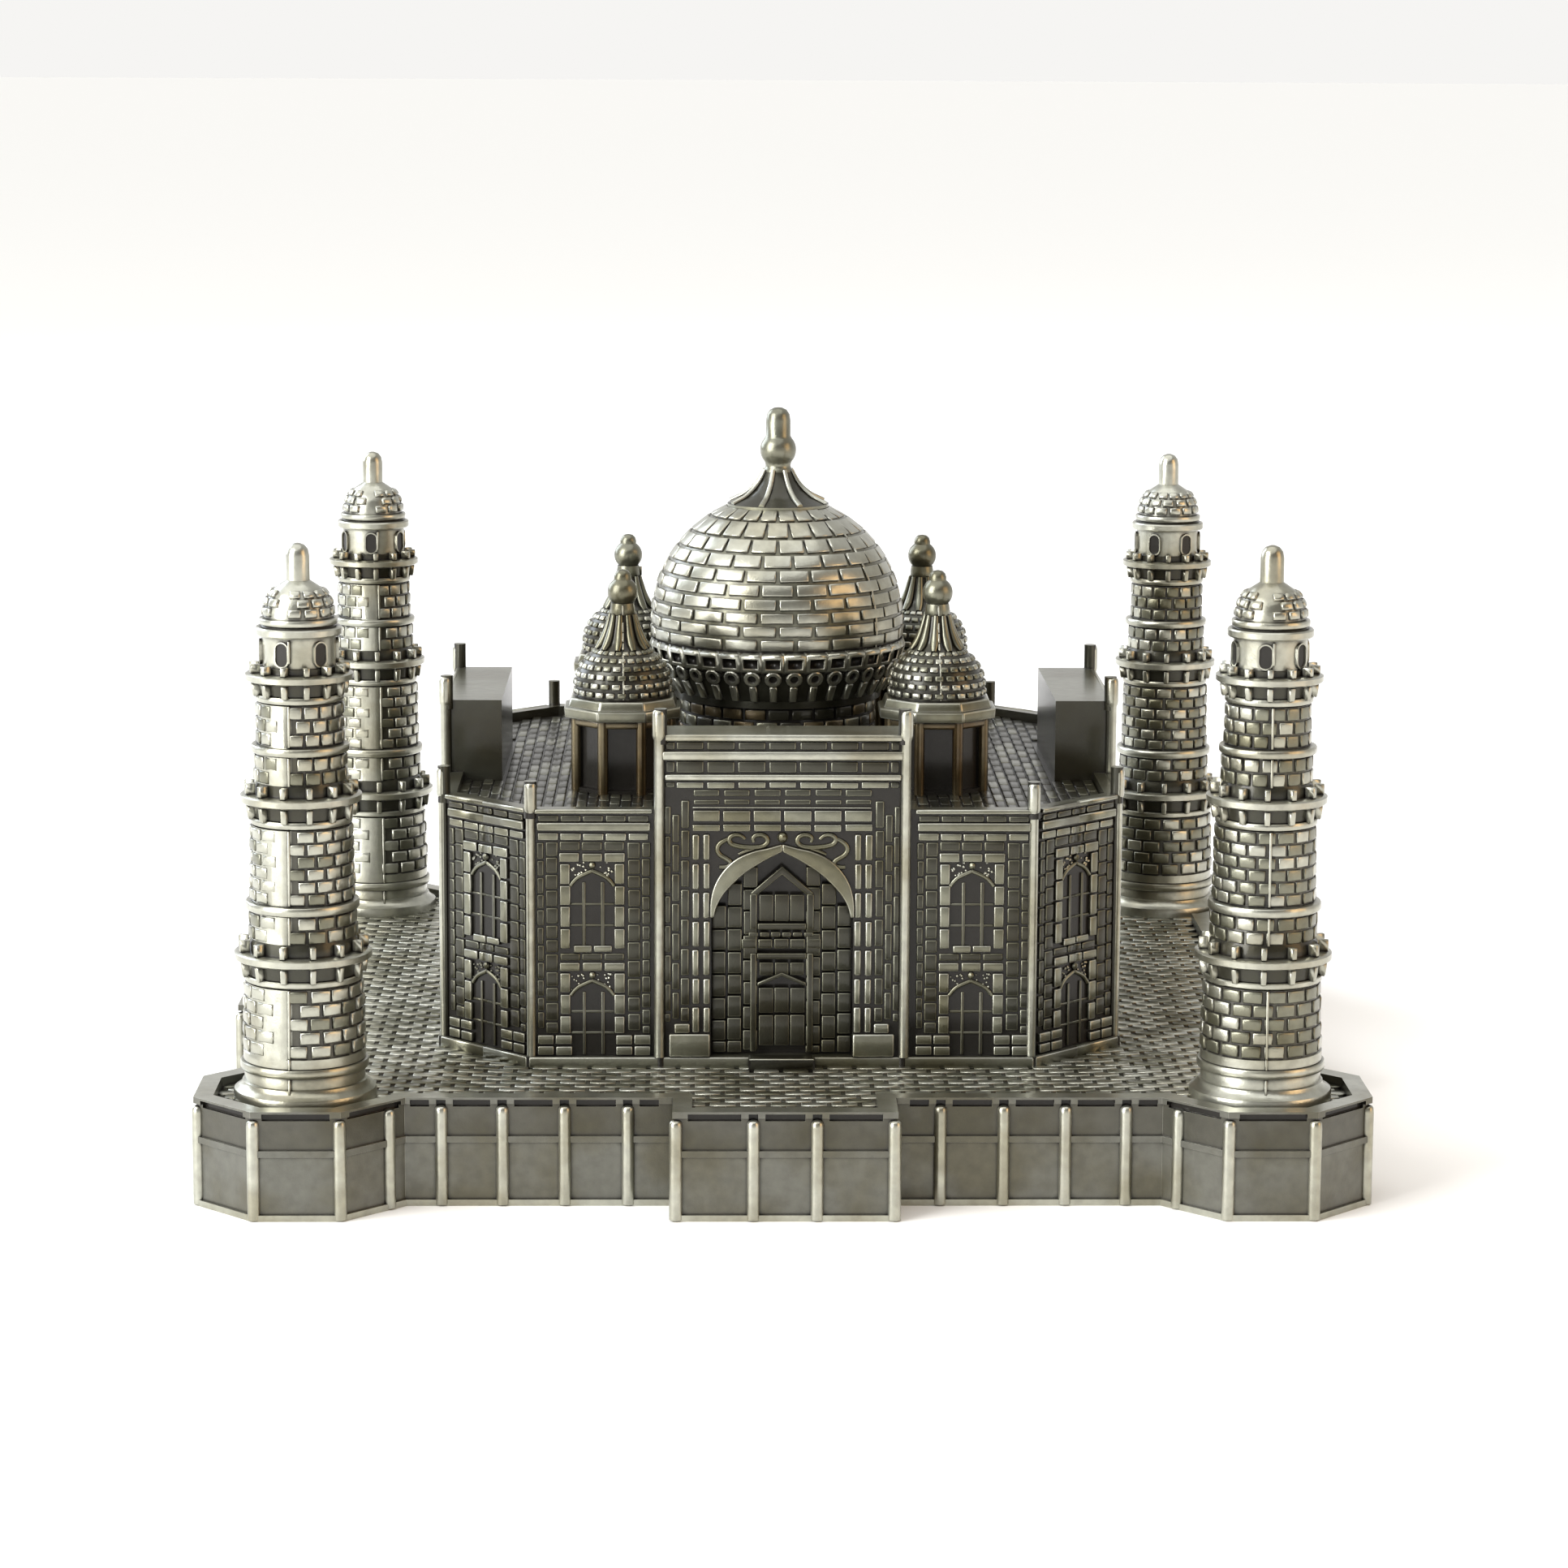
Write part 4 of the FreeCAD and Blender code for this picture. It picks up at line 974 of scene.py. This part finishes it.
# %% Portal: bands, lintel, columns and bases
band_boxes = [(-11.6, 11.6, 41.5, 42.1, 0.45), (-11.6, 11.6, 39.6, 40.5, 0.5),
              (-11.3, 11.4, 37.65, 38.3, 0.45)]
lintel = [(-8.6, 8.55, 34.95, 35.12, 0.35)]
plain_rows = []
for n in range(-3, 4):
    middle = 2.96 * n
    plain_rows += [(middle - 1.3, middle + 1.3, 40.6, 41.4, 0.16),
                   (middle - 1.3, middle + 1.3, 38.42, 39.5, 0.16)]
    lintel.append((middle - 1.28, middle + 1.28, 36.95, 37.5, 0.3))
for side in (-1, 1):
    low_x, high_x = sorted((side * 10.35, side * 11.2))
    plain_rows += [(low_x, high_x, 40.6, 41.4, 0.16), (low_x, high_x, 38.42, 39.5, 0.16),
                   (low_x, high_x, 36.95, 37.5, 0.14)]
for n in range(-3, 3):
    middle = 2.92 * (n + 0.5)
    plain_rows += [(middle - 1.25, middle + 1.25, 36.15, 36.78, 0.2),
                   (middle - 1.25, middle + 1.25, 35.28, 35.8, 0.14)]
    lintel += [(middle - 1.28, middle + 1.28, 33.72, 34.75, 0.45),
               (middle - 1.28, middle + 1.28, 32.75, 33.4, 0.4)]
columns, strips = [], []
for side in (-1, 1):
    for inner, outer in ((6.97, 7.6), (8.0, 8.65)):
        low_x, high_x = sorted((side * inner, side * outer))
        for n in range(7):
            top = 32.4 - 2.83 * n
            columns.append((low_x, high_x, top - 2.5, top, 0.38))
    for inner, outer, shift in ((8.95, 9.75, 0.0), (9.9, 10.6, 1.4), (10.75, 11.3, 0.6)):
        low_x, high_x = sorted((side * inner, side * outer))
        top = 35.7 - shift
        while top > 14.2:
            strips.append((low_x, high_x, max(top - 2.65, 14.0), top, 0.24))
            top -= 2.9
    base_in, base_out = sorted((side * 6.9, side * 10.9))
    columns += [(base_in, base_out, DECK + 1.25, 12.8, 0.5)]
    cap_in, cap_out = sorted((side * 8.9, side * 10.4))
    columns += [(cap_in, cap_out, 12.9, 13.8, 0.4)]
PORTAL = FACE + 0.4
portal_parts = [blocks("portal_bands", band_boxes, BRIGHT, BRIGHT, PORTAL, 0.18),
                blocks("portal_lintel", lintel, WORN, BRIGHT, PORTAL),
                blocks("portal_rows", plain_rows, DARK, WORN, PORTAL, 0.12),
                blocks("portal_columns", columns, WORN, BRIGHT, PORTAL, 0.15),
                blocks("portal_strips", strips, DARK, WORN, PORTAL, 0.12)]
print("portal blocks", len(band_boxes + lintel + plain_rows + columns + strips))

# %% Portal: arch, ball and scrolls
arch_outer = [(-6.95, 24.3), (-6.9, 25.9), (-6.55, 27.4), (-5.75, 28.8), (-4.5, 30.0),
              (-2.9, 30.75), (-1.4, 31.1), (0.0, 31.5)]
arch_inner = [(-6.6, 24.3), (-6.3, 25.4), (-5.7, 26.5), (-4.75, 27.6), (-3.6, 28.65),
              (-2.5, 29.4), (-1.3, 30.1), (0.0, 30.75)]
for outer, inner in ((rounded(arch_outer), rounded(arch_inner)),
                     (mirrored(rounded(arch_outer)), mirrored(rounded(arch_inner)))):
    portal_parts.append(ribbon("portal_arch", outer, inner, 0.5, WORN, BRIGHT, PORTAL))
scroll_long = [(-3.6, 31.95, 0.7), (-3.95, 32.35, 0.8), (-4.7, 32.4, 1.0), (-5.2, 32.0, 1.0),
               (-5.0, 31.45, 1.0), (-4.1, 31.2, 1.0), (-2.9, 31.1, 1.0), (-1.8, 31.2, 1.0),
               (-1.3, 31.75, 1.0), (-1.7, 32.35, 1.0), (-2.5, 32.4, 1.0), (-2.95, 32.0, 0.8),
               (-2.75, 31.65, 0.6)]
scroll_side = [(-5.0, 32.05, 0.7), (-5.8, 31.75, 1.0), (-6.35, 31.1, 1.0), (-6.1, 30.4, 1.0),
               (-5.3, 30.0, 1.0), (-4.85, 29.6, 1.0), (-5.2, 29.15, 1.0), (-6.05, 29.2, 0.8)]
scroll_leaf = [(-4.2, 30.45, 0.6), (-3.4, 30.85, 0.9), (-2.6, 31.05, 0.8)]
for path, thick in ((scroll_long, 0.25), (scroll_side, 0.25), (scroll_leaf, 0.25)):
    for side in (path, mirrored(path)):
        portal_parts.append(moulding("portal_scroll", side, thick, WORN, PORTAL + 0.12))
bpy.ops.mesh.primitive_uv_sphere_add(segments=10, ring_count=8, radius=0.54 * MM,
                                     location=(0, -(PORTAL + 0.1) * MM, 32.12 * MM))
portal_parts.append(smooth(added("portal_ball", WORN), 30))
print("portal parts", len(portal_parts))

# %% Portal: the wall, window and door inside the niche
NICHE = PORTAL - 1.05
niche_rows = []
arch_reach = [30.4, 29.8, 29.0, 27.4, 25.2]
for n in range(-4, 5):
    left = n * 1.52 - 0.68
    top = arch_reach[abs(n)]
    while top > 11.0:
        low = max(top - chance.uniform(1.8, 2.3), 10.7)
        behind_window = abs(n) <= 1 and low < 29.3 and top > 22.7
        behind_door = abs(n) <= 1 and low < 20.6
        if not behind_window and not behind_door:
            niche_rows.append((left, left + 1.34, low, top, 0.2))
        top = low - 0.16
niche_rows += [(-3.2 + 1.07 * n, -2.3 + 1.07 * n, 22.15, 22.62, 0.25) for n in range(6)]
niche_rows += [(-3.85 + 1.56 * n, -2.45 + 1.56 * n, 20.98, 21.95, 0.22) for n in range(5)]
panes = [(-2.2 + 1.5 * n, -0.85 + 1.5 * n, 23.7, 26.3, 0.2) for n in range(3)]
panes += [(-2.15 + 1.5 * n, -0.85 + 1.5 * n, 18.35, 19.6, 0.18) for n in range(3)]
panes += [(-2.2 + 1.53 * n, -0.82 + 1.53 * n, 14.65, 17.1, 0.18) for n in range(3)]
panes += [(-2.2 + 1.53 * n, -0.82 + 1.53 * n, 11.4, 14.4, 0.18) for n in range(3)]
frames = [(-3.05, -2.45, 10.8, 20.55, 0.36), (2.45, 3.05, 10.8, 20.55, 0.36),
          (-2.4, 2.4, 20.0, 20.55, 0.36), (-3.1, -2.4, 22.9, 26.4, 0.36),
          (2.4, 3.1, 22.9, 26.4, 0.36), (-2.35, 2.35, 22.9, 23.5, 0.36)]
portal_parts += [blocks("niche_rows", niche_rows, DARK, WORN, NICHE, 0.1),
                 blocks("niche_panes", panes, DARK, WORN, NICHE, 0.07, 0.02),
                 blocks("niche_frames", frames, DARK, WORN, NICHE, 0.1, 0.0)]
gables = [([(-3.1, 26.45), (0, 29.15), (3.1, 26.45)], [(-2.38, 26.3), (0, 28.3), (2.38, 26.3)]),
          ([(-2.35, 17.65), (0, 18.65), (2.35, 17.65)], [(-2.35, 17.3), (0, 18.3), (2.35, 17.3)])]
for outer, inner in gables:
    portal_parts.append(ribbon("gable", outer, inner, 0.36, DARK, WORN, NICHE, 0.09))
portal = joined("portal", portal_parts)
print("portal triangles", triangles(portal))

# %% [markdown]
# ## Wall castings
# The plain casting is a copy of the CAD wall with its loose triangles merged to whole faces.
# Posts are turned, the flange and step are blocks, and the bay on each cut corner is bisected on
# the diagonal, because the joint between two castings runs there. A bay is many solids that run
# into one another, so each is cut and closed by itself.

# %% Wall core from the CAD casting


def core_of(name, *finishes):
    """A copy of a CAD node with its triangles merged to faces."""
    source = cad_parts[name]
    piece = source.copy()
    piece.data = source.data.copy()
    for key in list(piece.keys()):
        del piece[key]
    piece.parent = None
    piece.name = name + "_core"
    bpy.context.scene.collection.objects.link(piece)
    piece.data.materials.clear()
    for finish in finishes:
        piece.data.materials.append(finish)
    edit_faces(piece, lambda centre, normal: True)
    bpy.ops.mesh.remove_doubles(threshold=0.002 * MM)
    bpy.ops.mesh.dissolve_limited(angle_limit=math.radians(1))
    leave_edit()
    pick(piece)
    bpy.ops.object.shade_flat()
    return piece


wall_core = core_of("wall_front", DARK, BLACK, WORN)
painted(wall_core, lambda centre, normal: 2 if normal.z > 0.9 else int(normal.y < -0.5))
print("wall core faces", len(wall_core.data.polygons))

# %% Wall posts, flange, bays and hand-over
CUT_CORNER = 24.2      # mm, from the middle of a wall to where the cut corner begins


def turned_post(name, x, face, low, high, pin_top, radius=0.46, pin=0.62):
    """A slender post with a round-topped pin."""
    profile = [(radius, low), (radius, high - 0.35), (pin * 0.96, high - 0.05),
               (pin, high + 0.15), (pin, pin_top - 0.6), (pin * 0.88, pin_top - 0.22),
               (pin * 0.5, pin_top - 0.03), (0.05, pin_top)]
    piece = smooth(turned(name, profile, BRIGHT, columns=16), 50)
    piece.data.transform(Matrix.Translation((x * MM, -face * MM, 0)))
    return piece


def cut_back(name, piece, point, outward):
    """The piece without what lies past a plane. Every solid in it is cut and closed by itself.

    A solid that would leave less than 0.3 mm is left out.
    """
    pick(piece)
    bpy.ops.mesh.separate(type="LOOSE")
    kept = []
    for solid in list(bpy.context.selected_objects):
        reach = [(corner.co - point).dot(outward) / MM for corner in solid.data.vertices]
        if min(reach) > -0.3:
            bpy.data.objects.remove(solid)
            continue
        if max(reach) > 0.001:
            edit_faces(solid, lambda centre, normal: True)
            bpy.ops.mesh.bisect(plane_co=point, plane_no=outward, use_fill=True,
                                clear_outer=True)
            leave_edit()
        kept.append(solid)
    return joined(name, kept)


wall_parts = [wall_core, portal]
for side in (-1, 1):
    wall_parts.append(turned_post("corner_post", side * CUT_CORNER, FACE + 0.12, DECK + 1.2, 34.7,
                                  37.5))
    wall_parts.append(turned_post("portal_post", side * 11.85, PORTAL + 0.15, DECK + 1.2, 41.9,
                                  44.6, 0.5, 0.64))
flange = [(-24.5, 24.5, DECK + 0.02, DECK + 1.22, 0.75)]
step = [(-3.2, 3.2, DECK + 0.02, DECK + 1.3, 1.9)]
wall_parts.append(blocks("flange", flange, WORN, BRIGHT, FACE, 0.18, 0.0))
wall_parts.append(blocks("step", step, DARK, BRIGHT, FACE, 0.18, 0.0))
middle = (CUT_CORNER + FACE) / 2
for side in (-1, 1):
    wall_parts.append(copies("bay_side", bay, [Matrix.Translation((side * 18.3 * MM, -FACE * MM, 0))],
                             keep=True))
    turn = spin(side * 45)
    place = Matrix.Translation((side * middle * MM, -middle * MM, 0)) @ turn
    half = copies("bay_corner", bay, [place], keep=True)
    strip = blocks("corner_flange", [(-6.3, 6.3, DECK + 0.02, DECK + 1.22, 0.75)], WORN, BRIGHT,
                   0, 0.18, 0.0)
    half = joined("bay_corner", [half, copies("corner_flange", strip, [place])])
    wall_parts.append(cut_back("bay_corner", half, place.translation,
                               Vector((side, 1, 0)).normalized()))
wall = joined("wall", wall_parts)
print("wall triangles", triangles(wall))
bpy.data.objects.remove(bay)
for number, side in enumerate(("front", "right", "rear", "left")):
    place = spin(90 * number)
    piece = copies("wall_" + side + "_casting", wall, [place], keep=True)
    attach(piece, "root")
    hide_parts("wall_" + side)
bpy.data.objects.remove(wall)

# %% [markdown]
# ## Roof
# The roof plate is paved with long narrow tiles that run from front to rear.

# %% Roof tiles


def paving(name, half_x, half_y, pitch_x, pitch_y, unit, level, inside, running_x=True):
    """Rows of one brick laid flat at a level, kept where inside(x, y) says."""
    flat = Matrix.Rotation(math.radians(-90), 4, "X")
    chance = random.Random(name)
    places = []
    rows = int(2 * half_y / pitch_y) + 1
    columns = int(2 * half_x / pitch_x) + 2
    for row in range(rows):
        for column in range(columns):
            x, y = -half_x + column * pitch_x, -half_y + row * pitch_y
            if running_x:
                x += 0.5 * pitch_x * (row % 2)
            else:
                y += 0.5 * pitch_y * (column % 2)
            if inside(x, y):
                places.append(Matrix.Translation((x * MM, y * MM, level * MM)) @ flat)
    return copies(name, unit, places, mixed=chance)


def on_roof(x, y):
    """Clear of the dome, the cut corners, the portals and the parapets."""
    near_dome = math.hypot(x, y) < 9.5
    past_corner = abs(x) + abs(y) > CUT_CORNER + FACE - 3.0
    portal_block = ((abs(x) < 12.3 and abs(y) > 27.2) or (abs(y) < 12.3 and abs(x) > 27.2))
    return max(abs(x), abs(y)) < 31.6 and not (near_dome or past_corner or portal_block)


roof_core = core_of("roof_deck", BLACK)
tile = brick("roof_tile", 0.9, 3.6, 0.14, DARK, DARK, WORN, crown=0.09)
tiles = paving("roof_tiles", 31.4, 31.4, 1.08, 3.8, tile, ROOF, on_roof, False)
roof = joined("roof_deck_casting", [roof_core, tiles])
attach(roof, "root")
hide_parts("roof_deck")
print("roof triangles", triangles(roof))

# %% [markdown]
# ## Plinth
# The plinth is the CAD casting with slots cut into the face of its coping, rounded ribs on
# its walls and a running bond of small paving bricks on its deck.

# %% Plinth: slots and ribs
plinth_low, plinth_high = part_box("plinth")
COPING = plinth_high.z / MM
# all in mm: middle to straight wall, to the bay's face and to the bay's side, middle to a
# minaret's axis, that axis to the bastion's flats, and the height of the ledge in the panels
WALL = 49.2
BAY = 54.75
BAY_HALF = 10.1
MINARET = 45.0
BASTION = 9.75
LEDGE = 6.7
corner_half = BASTION * math.tan(math.radians(22.5))


def plinth_finish(centre, normal):
    """Dark deck, bright coping and foot moulding, panels half wiped and dimmer at the top."""
    if normal.z > 0.9:
        return 1 if abs(centre.z - DECK) < 0.1 else 2
    if 0.1 < centre.z < 0.5:
        return 2
    return 3 if LEDGE < centre.z < COPING - 0.6 else 0


plinth_core = painted(core_of("plinth", PANEL, DARK, BRIGHT, DIM), plinth_finish)
slot_boxes, rib_places = [], []


def slot_place(face, left, right, turn):
    """A slot in the coping's face between two ends, as a cutter's place."""
    size = ((right - left) * MM, 1.3 * MM, 0.72 * MM)
    return (turn @ Matrix.Translation(((left + right) / 2 * MM, -(face + 0.3) * MM,
                                       (COPING - 0.56) * MM)) @ Matrix.Diagonal((*size, 1)))


def rib_place(face, x, turn):
    """A rib on a straight face."""
    return turn @ Matrix.Translation((x * MM, -face * MM, 0))


def slots_between(ribs, start, end, gap=1.1):
    """Long slots between ribs and short ones over them."""
    marks = [start] + list(ribs) + [end]
    long_slots = [(a + gap, b - gap) for a, b in zip(marks, marks[1:]) if b - a > 2.8]
    return long_slots + [(rib - 0.45, rib + 0.45) for rib in ribs]


for quarter in range(4):
    turn = spin(90 * quarter)
    for face, start, end, ribs in ((BAY, -BAY_HALF, BAY_HALF, (-2.95, 2.95)),
                                   (WALL, -36.0, -10.6, (-32.0, -26.3, -20.5, -14.6)),
                                   (WALL, 10.6, 36.0, (14.6, 20.5, 26.3, 32.0))):
        slot_boxes += [slot_place(face, a, b, turn) for a, b in slots_between(ribs, start, end)]
        rib_places += [rib_place(face, x, turn) for x in ribs]
    rib_places += [rib_place(BAY, -BAY_HALF, turn), rib_place(BAY, BAY_HALF, turn)]
    centre = turn @ Matrix.Translation((MINARET * MM, -MINARET * MM, 0))
    for side in range(-2, 3):
        facet = centre @ spin(45 * side + 45)
        slot_boxes.append(slot_place(BASTION, -corner_half + 0.9, corner_half - 0.9, facet))
    for side in range(-2, 2):
        corner = centre @ spin(45 * side + 67.5)
        rib_places.append(corner @ Matrix.Translation(
            (0, -(BASTION / math.cos(math.radians(22.5)) - 0.15) * MM, 0)))
    for away in (-1, 1):
        facet = centre @ spin(45 + 90 * away)
        rib_places.append(rib_place(BASTION - 0.05, away * 1.9, facet))

bpy.ops.mesh.primitive_cube_add(size=1)
cutter = copies("slot_cutter", added("slot_unit", BLACK), slot_boxes)
pick(plinth_core)
cut = plinth_core.modifiers.new("slots", "BOOLEAN")
cut.object = cutter
cut.operation = "DIFFERENCE"
cut.solver = "EXACT"
cut.material_mode = "TRANSFER"
bpy.ops.object.modifier_apply(modifier=cut.name)
bpy.data.objects.remove(cutter)
softened(plinth_core, 0.15, 2, 30, edge_finish=2)
rib_profile = [(0.62, 0.15), (0.62, 8.9), (0.58, 9.3), (0.46, 9.5), (0.2, 9.6)]
plinth_rib = smooth(turned("plinth_rib", rib_profile, BRIGHT, columns=20), 60)
ribs = copies("plinth_ribs", plinth_rib, rib_places)
print("slots", len(slot_boxes), "ribs", len(rib_places))

# %% Plinth: deck paving


def on_deck(x, y):
    """Inside the coping and clear of the tomb and the minarets."""
    ax, ay = abs(x), abs(y)
    square = max(ax, ay) < WALL - 0.8
    bay_area = (ax < BAY_HALF - 1.4 and ay < BAY - 1.2) or (ay < BAY_HALF - 1.4 and ax < BAY - 1.2)
    dx, dy = abs(ax - MINARET), abs(ay - MINARET)
    in_bastion = max(dx, dy, (dx + dy) * 0.7071) < BASTION - 1.2
    under_tomb = max(ax, ay) < 31 and ax + ay < 55
    under_minaret = math.hypot(ax - MINARET, ay - MINARET) < 6.0
    return (square or bay_area or in_bastion) and not (under_tomb or under_minaret)


deck_brick = brick("deck_brick", 2.4, 1.12, 0.17, BRIGHT, BRIGHT, WORN, crown=0.12)
deck = paving("deck_bricks", 54.2, 54.2, 2.85, 1.47, deck_brick, DECK, on_deck)
plinth = joined("plinth_casting", [plinth_core, ribs, deck])
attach(plinth, "root")
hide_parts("plinth")
print("plinth triangles", triangles(plinth))

# %% [markdown]
# ## Floor, light and camera
# A wide pale floor and large soft lights. Metal shows what it reflects, so the lights stand as
# softboxes do in a studio: a tall one at the left front draws the long bright streak down every
# round wall, a broad overhead one lights the floor, and a weak warm one at the right gives the
# bronze tint. The room is white at the horizon and dark higher up in front, which gives the dome
# its contrast.

# %% Floor
bpy.ops.mesh.primitive_circle_add(vertices=96, radius=14.0, fill_type="NGON")
floor = added("floor", bpy.data.materials.new("pale_matt_board"))
edit_faces(floor, lambda centre, normal: True)
bpy.ops.mesh.inset(thickness=12.0, depth=0)
leave_edit()
floor.data.materials[0].use_nodes = True
board = floor.data.materials[0].node_tree.nodes["Principled BSDF"]
board.inputs["Base Color"].default_value = linear("#F4F3F0")
board.inputs["Roughness"].default_value = 0.85
floor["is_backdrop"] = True
print("floor", floor.dimensions[:2])

# %% Lights and world


def softbox(name, place, size, power, colour="#FFFFFF"):
    """A rectangular area light that looks at the middle of the object."""
    bpy.ops.object.light_add(type="AREA", location=place)
    lamp = bpy.context.object
    lamp.name = name
    lamp.data.shape = "RECTANGLE"
    lamp.data.size, lamp.data.size_y = size
    lamp.data.energy = power
    lamp.data.color = linear(colour)[:3]
    aim = Vector((0, 0, 0.03)) - Vector(place)
    lamp.rotation_euler = aim.to_track_quat("-Z", "Y").to_euler()
    return lamp


softbox("key_left", (-0.74, -0.5, 0.4), (0.6, 0.8), 15.0)
softbox("warm_right", (0.7, -0.35, 0.3), (0.45, 0.5), 2.4, "#DDB480")
softbox("rear_left", (-0.6, 0.5, 0.4), (0.5, 0.6), 5.0, "#E6F0FF")
bpy.ops.object.light_add(type="SUN", location=(0, 0, 2))
ceiling = bpy.context.object
ceiling.name = "overhead"
ceiling.data.energy = 1.9
ceiling.data.angle = math.radians(80)
ceiling.rotation_euler = (math.radians(12), math.radians(-10), 0)
world = bpy.data.worlds.new("room")
bpy.context.scene.world = world
world.use_nodes = True
tree = world.node_tree
sky = tree.nodes["Background"]
sky.inputs["Color"].default_value = linear("#F6F5F3")
direction = node(tree, "ShaderNodeTexCoord").outputs["Generated"]
axes = node(tree, "ShaderNodeSeparateXYZ", {}, {}, {"Vector": direction}).outputs
upper_room = node(tree, "ShaderNodeMapRange", {"interpolation_type": "SMOOTHSTEP"},
                  {"From Min": -0.7, "From Max": 0.45, "To Min": 0.1, "To Max": 0.8},
                  {"Value": axes["Y"]}).outputs["Result"]
height = node(tree, "ShaderNodeMapRange", {"interpolation_type": "SMOOTHSTEP"},
              {"From Min": 0.1, "From Max": 0.35}, {"Value": axes["Z"]}).outputs["Result"]
room = node(tree, "ShaderNodeMix", {}, {2: 1.0}, {0: height, 3: upper_room}).outputs[0]
tree.links.new(room, sky.inputs["Strength"])

# %% Camera
camera_data = bpy.data.cameras.new("camera")
camera = bpy.data.objects.new("camera", camera_data)
bpy.context.scene.collection.objects.link(camera)
LENS = 98.2                              # mm, on a 36 mm wide sensor
STAND = (-0.00742, -0.43748, 0.1069)     # metres
LOOK_DOWN, LOOK_RIGHT, ROLL = 9.77, 1.07, 0.26
camera_data.lens = LENS
camera_data.sensor_width = 36.0
camera_data.clip_start = 0.01
camera.matrix_world = (Matrix.Translation(STAND) @ spin(-LOOK_RIGHT)
                       @ Matrix.Rotation(math.radians(90 - LOOK_DOWN), 4, "X")
                       @ spin(ROLL))
bpy.context.scene.camera = camera
bpy.context.scene.view_settings.view_transform = "Standard"
print("camera", LENS, "mm, looking down", LOOK_DOWN, "degrees")

# %% Sizes and finish
low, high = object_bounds()
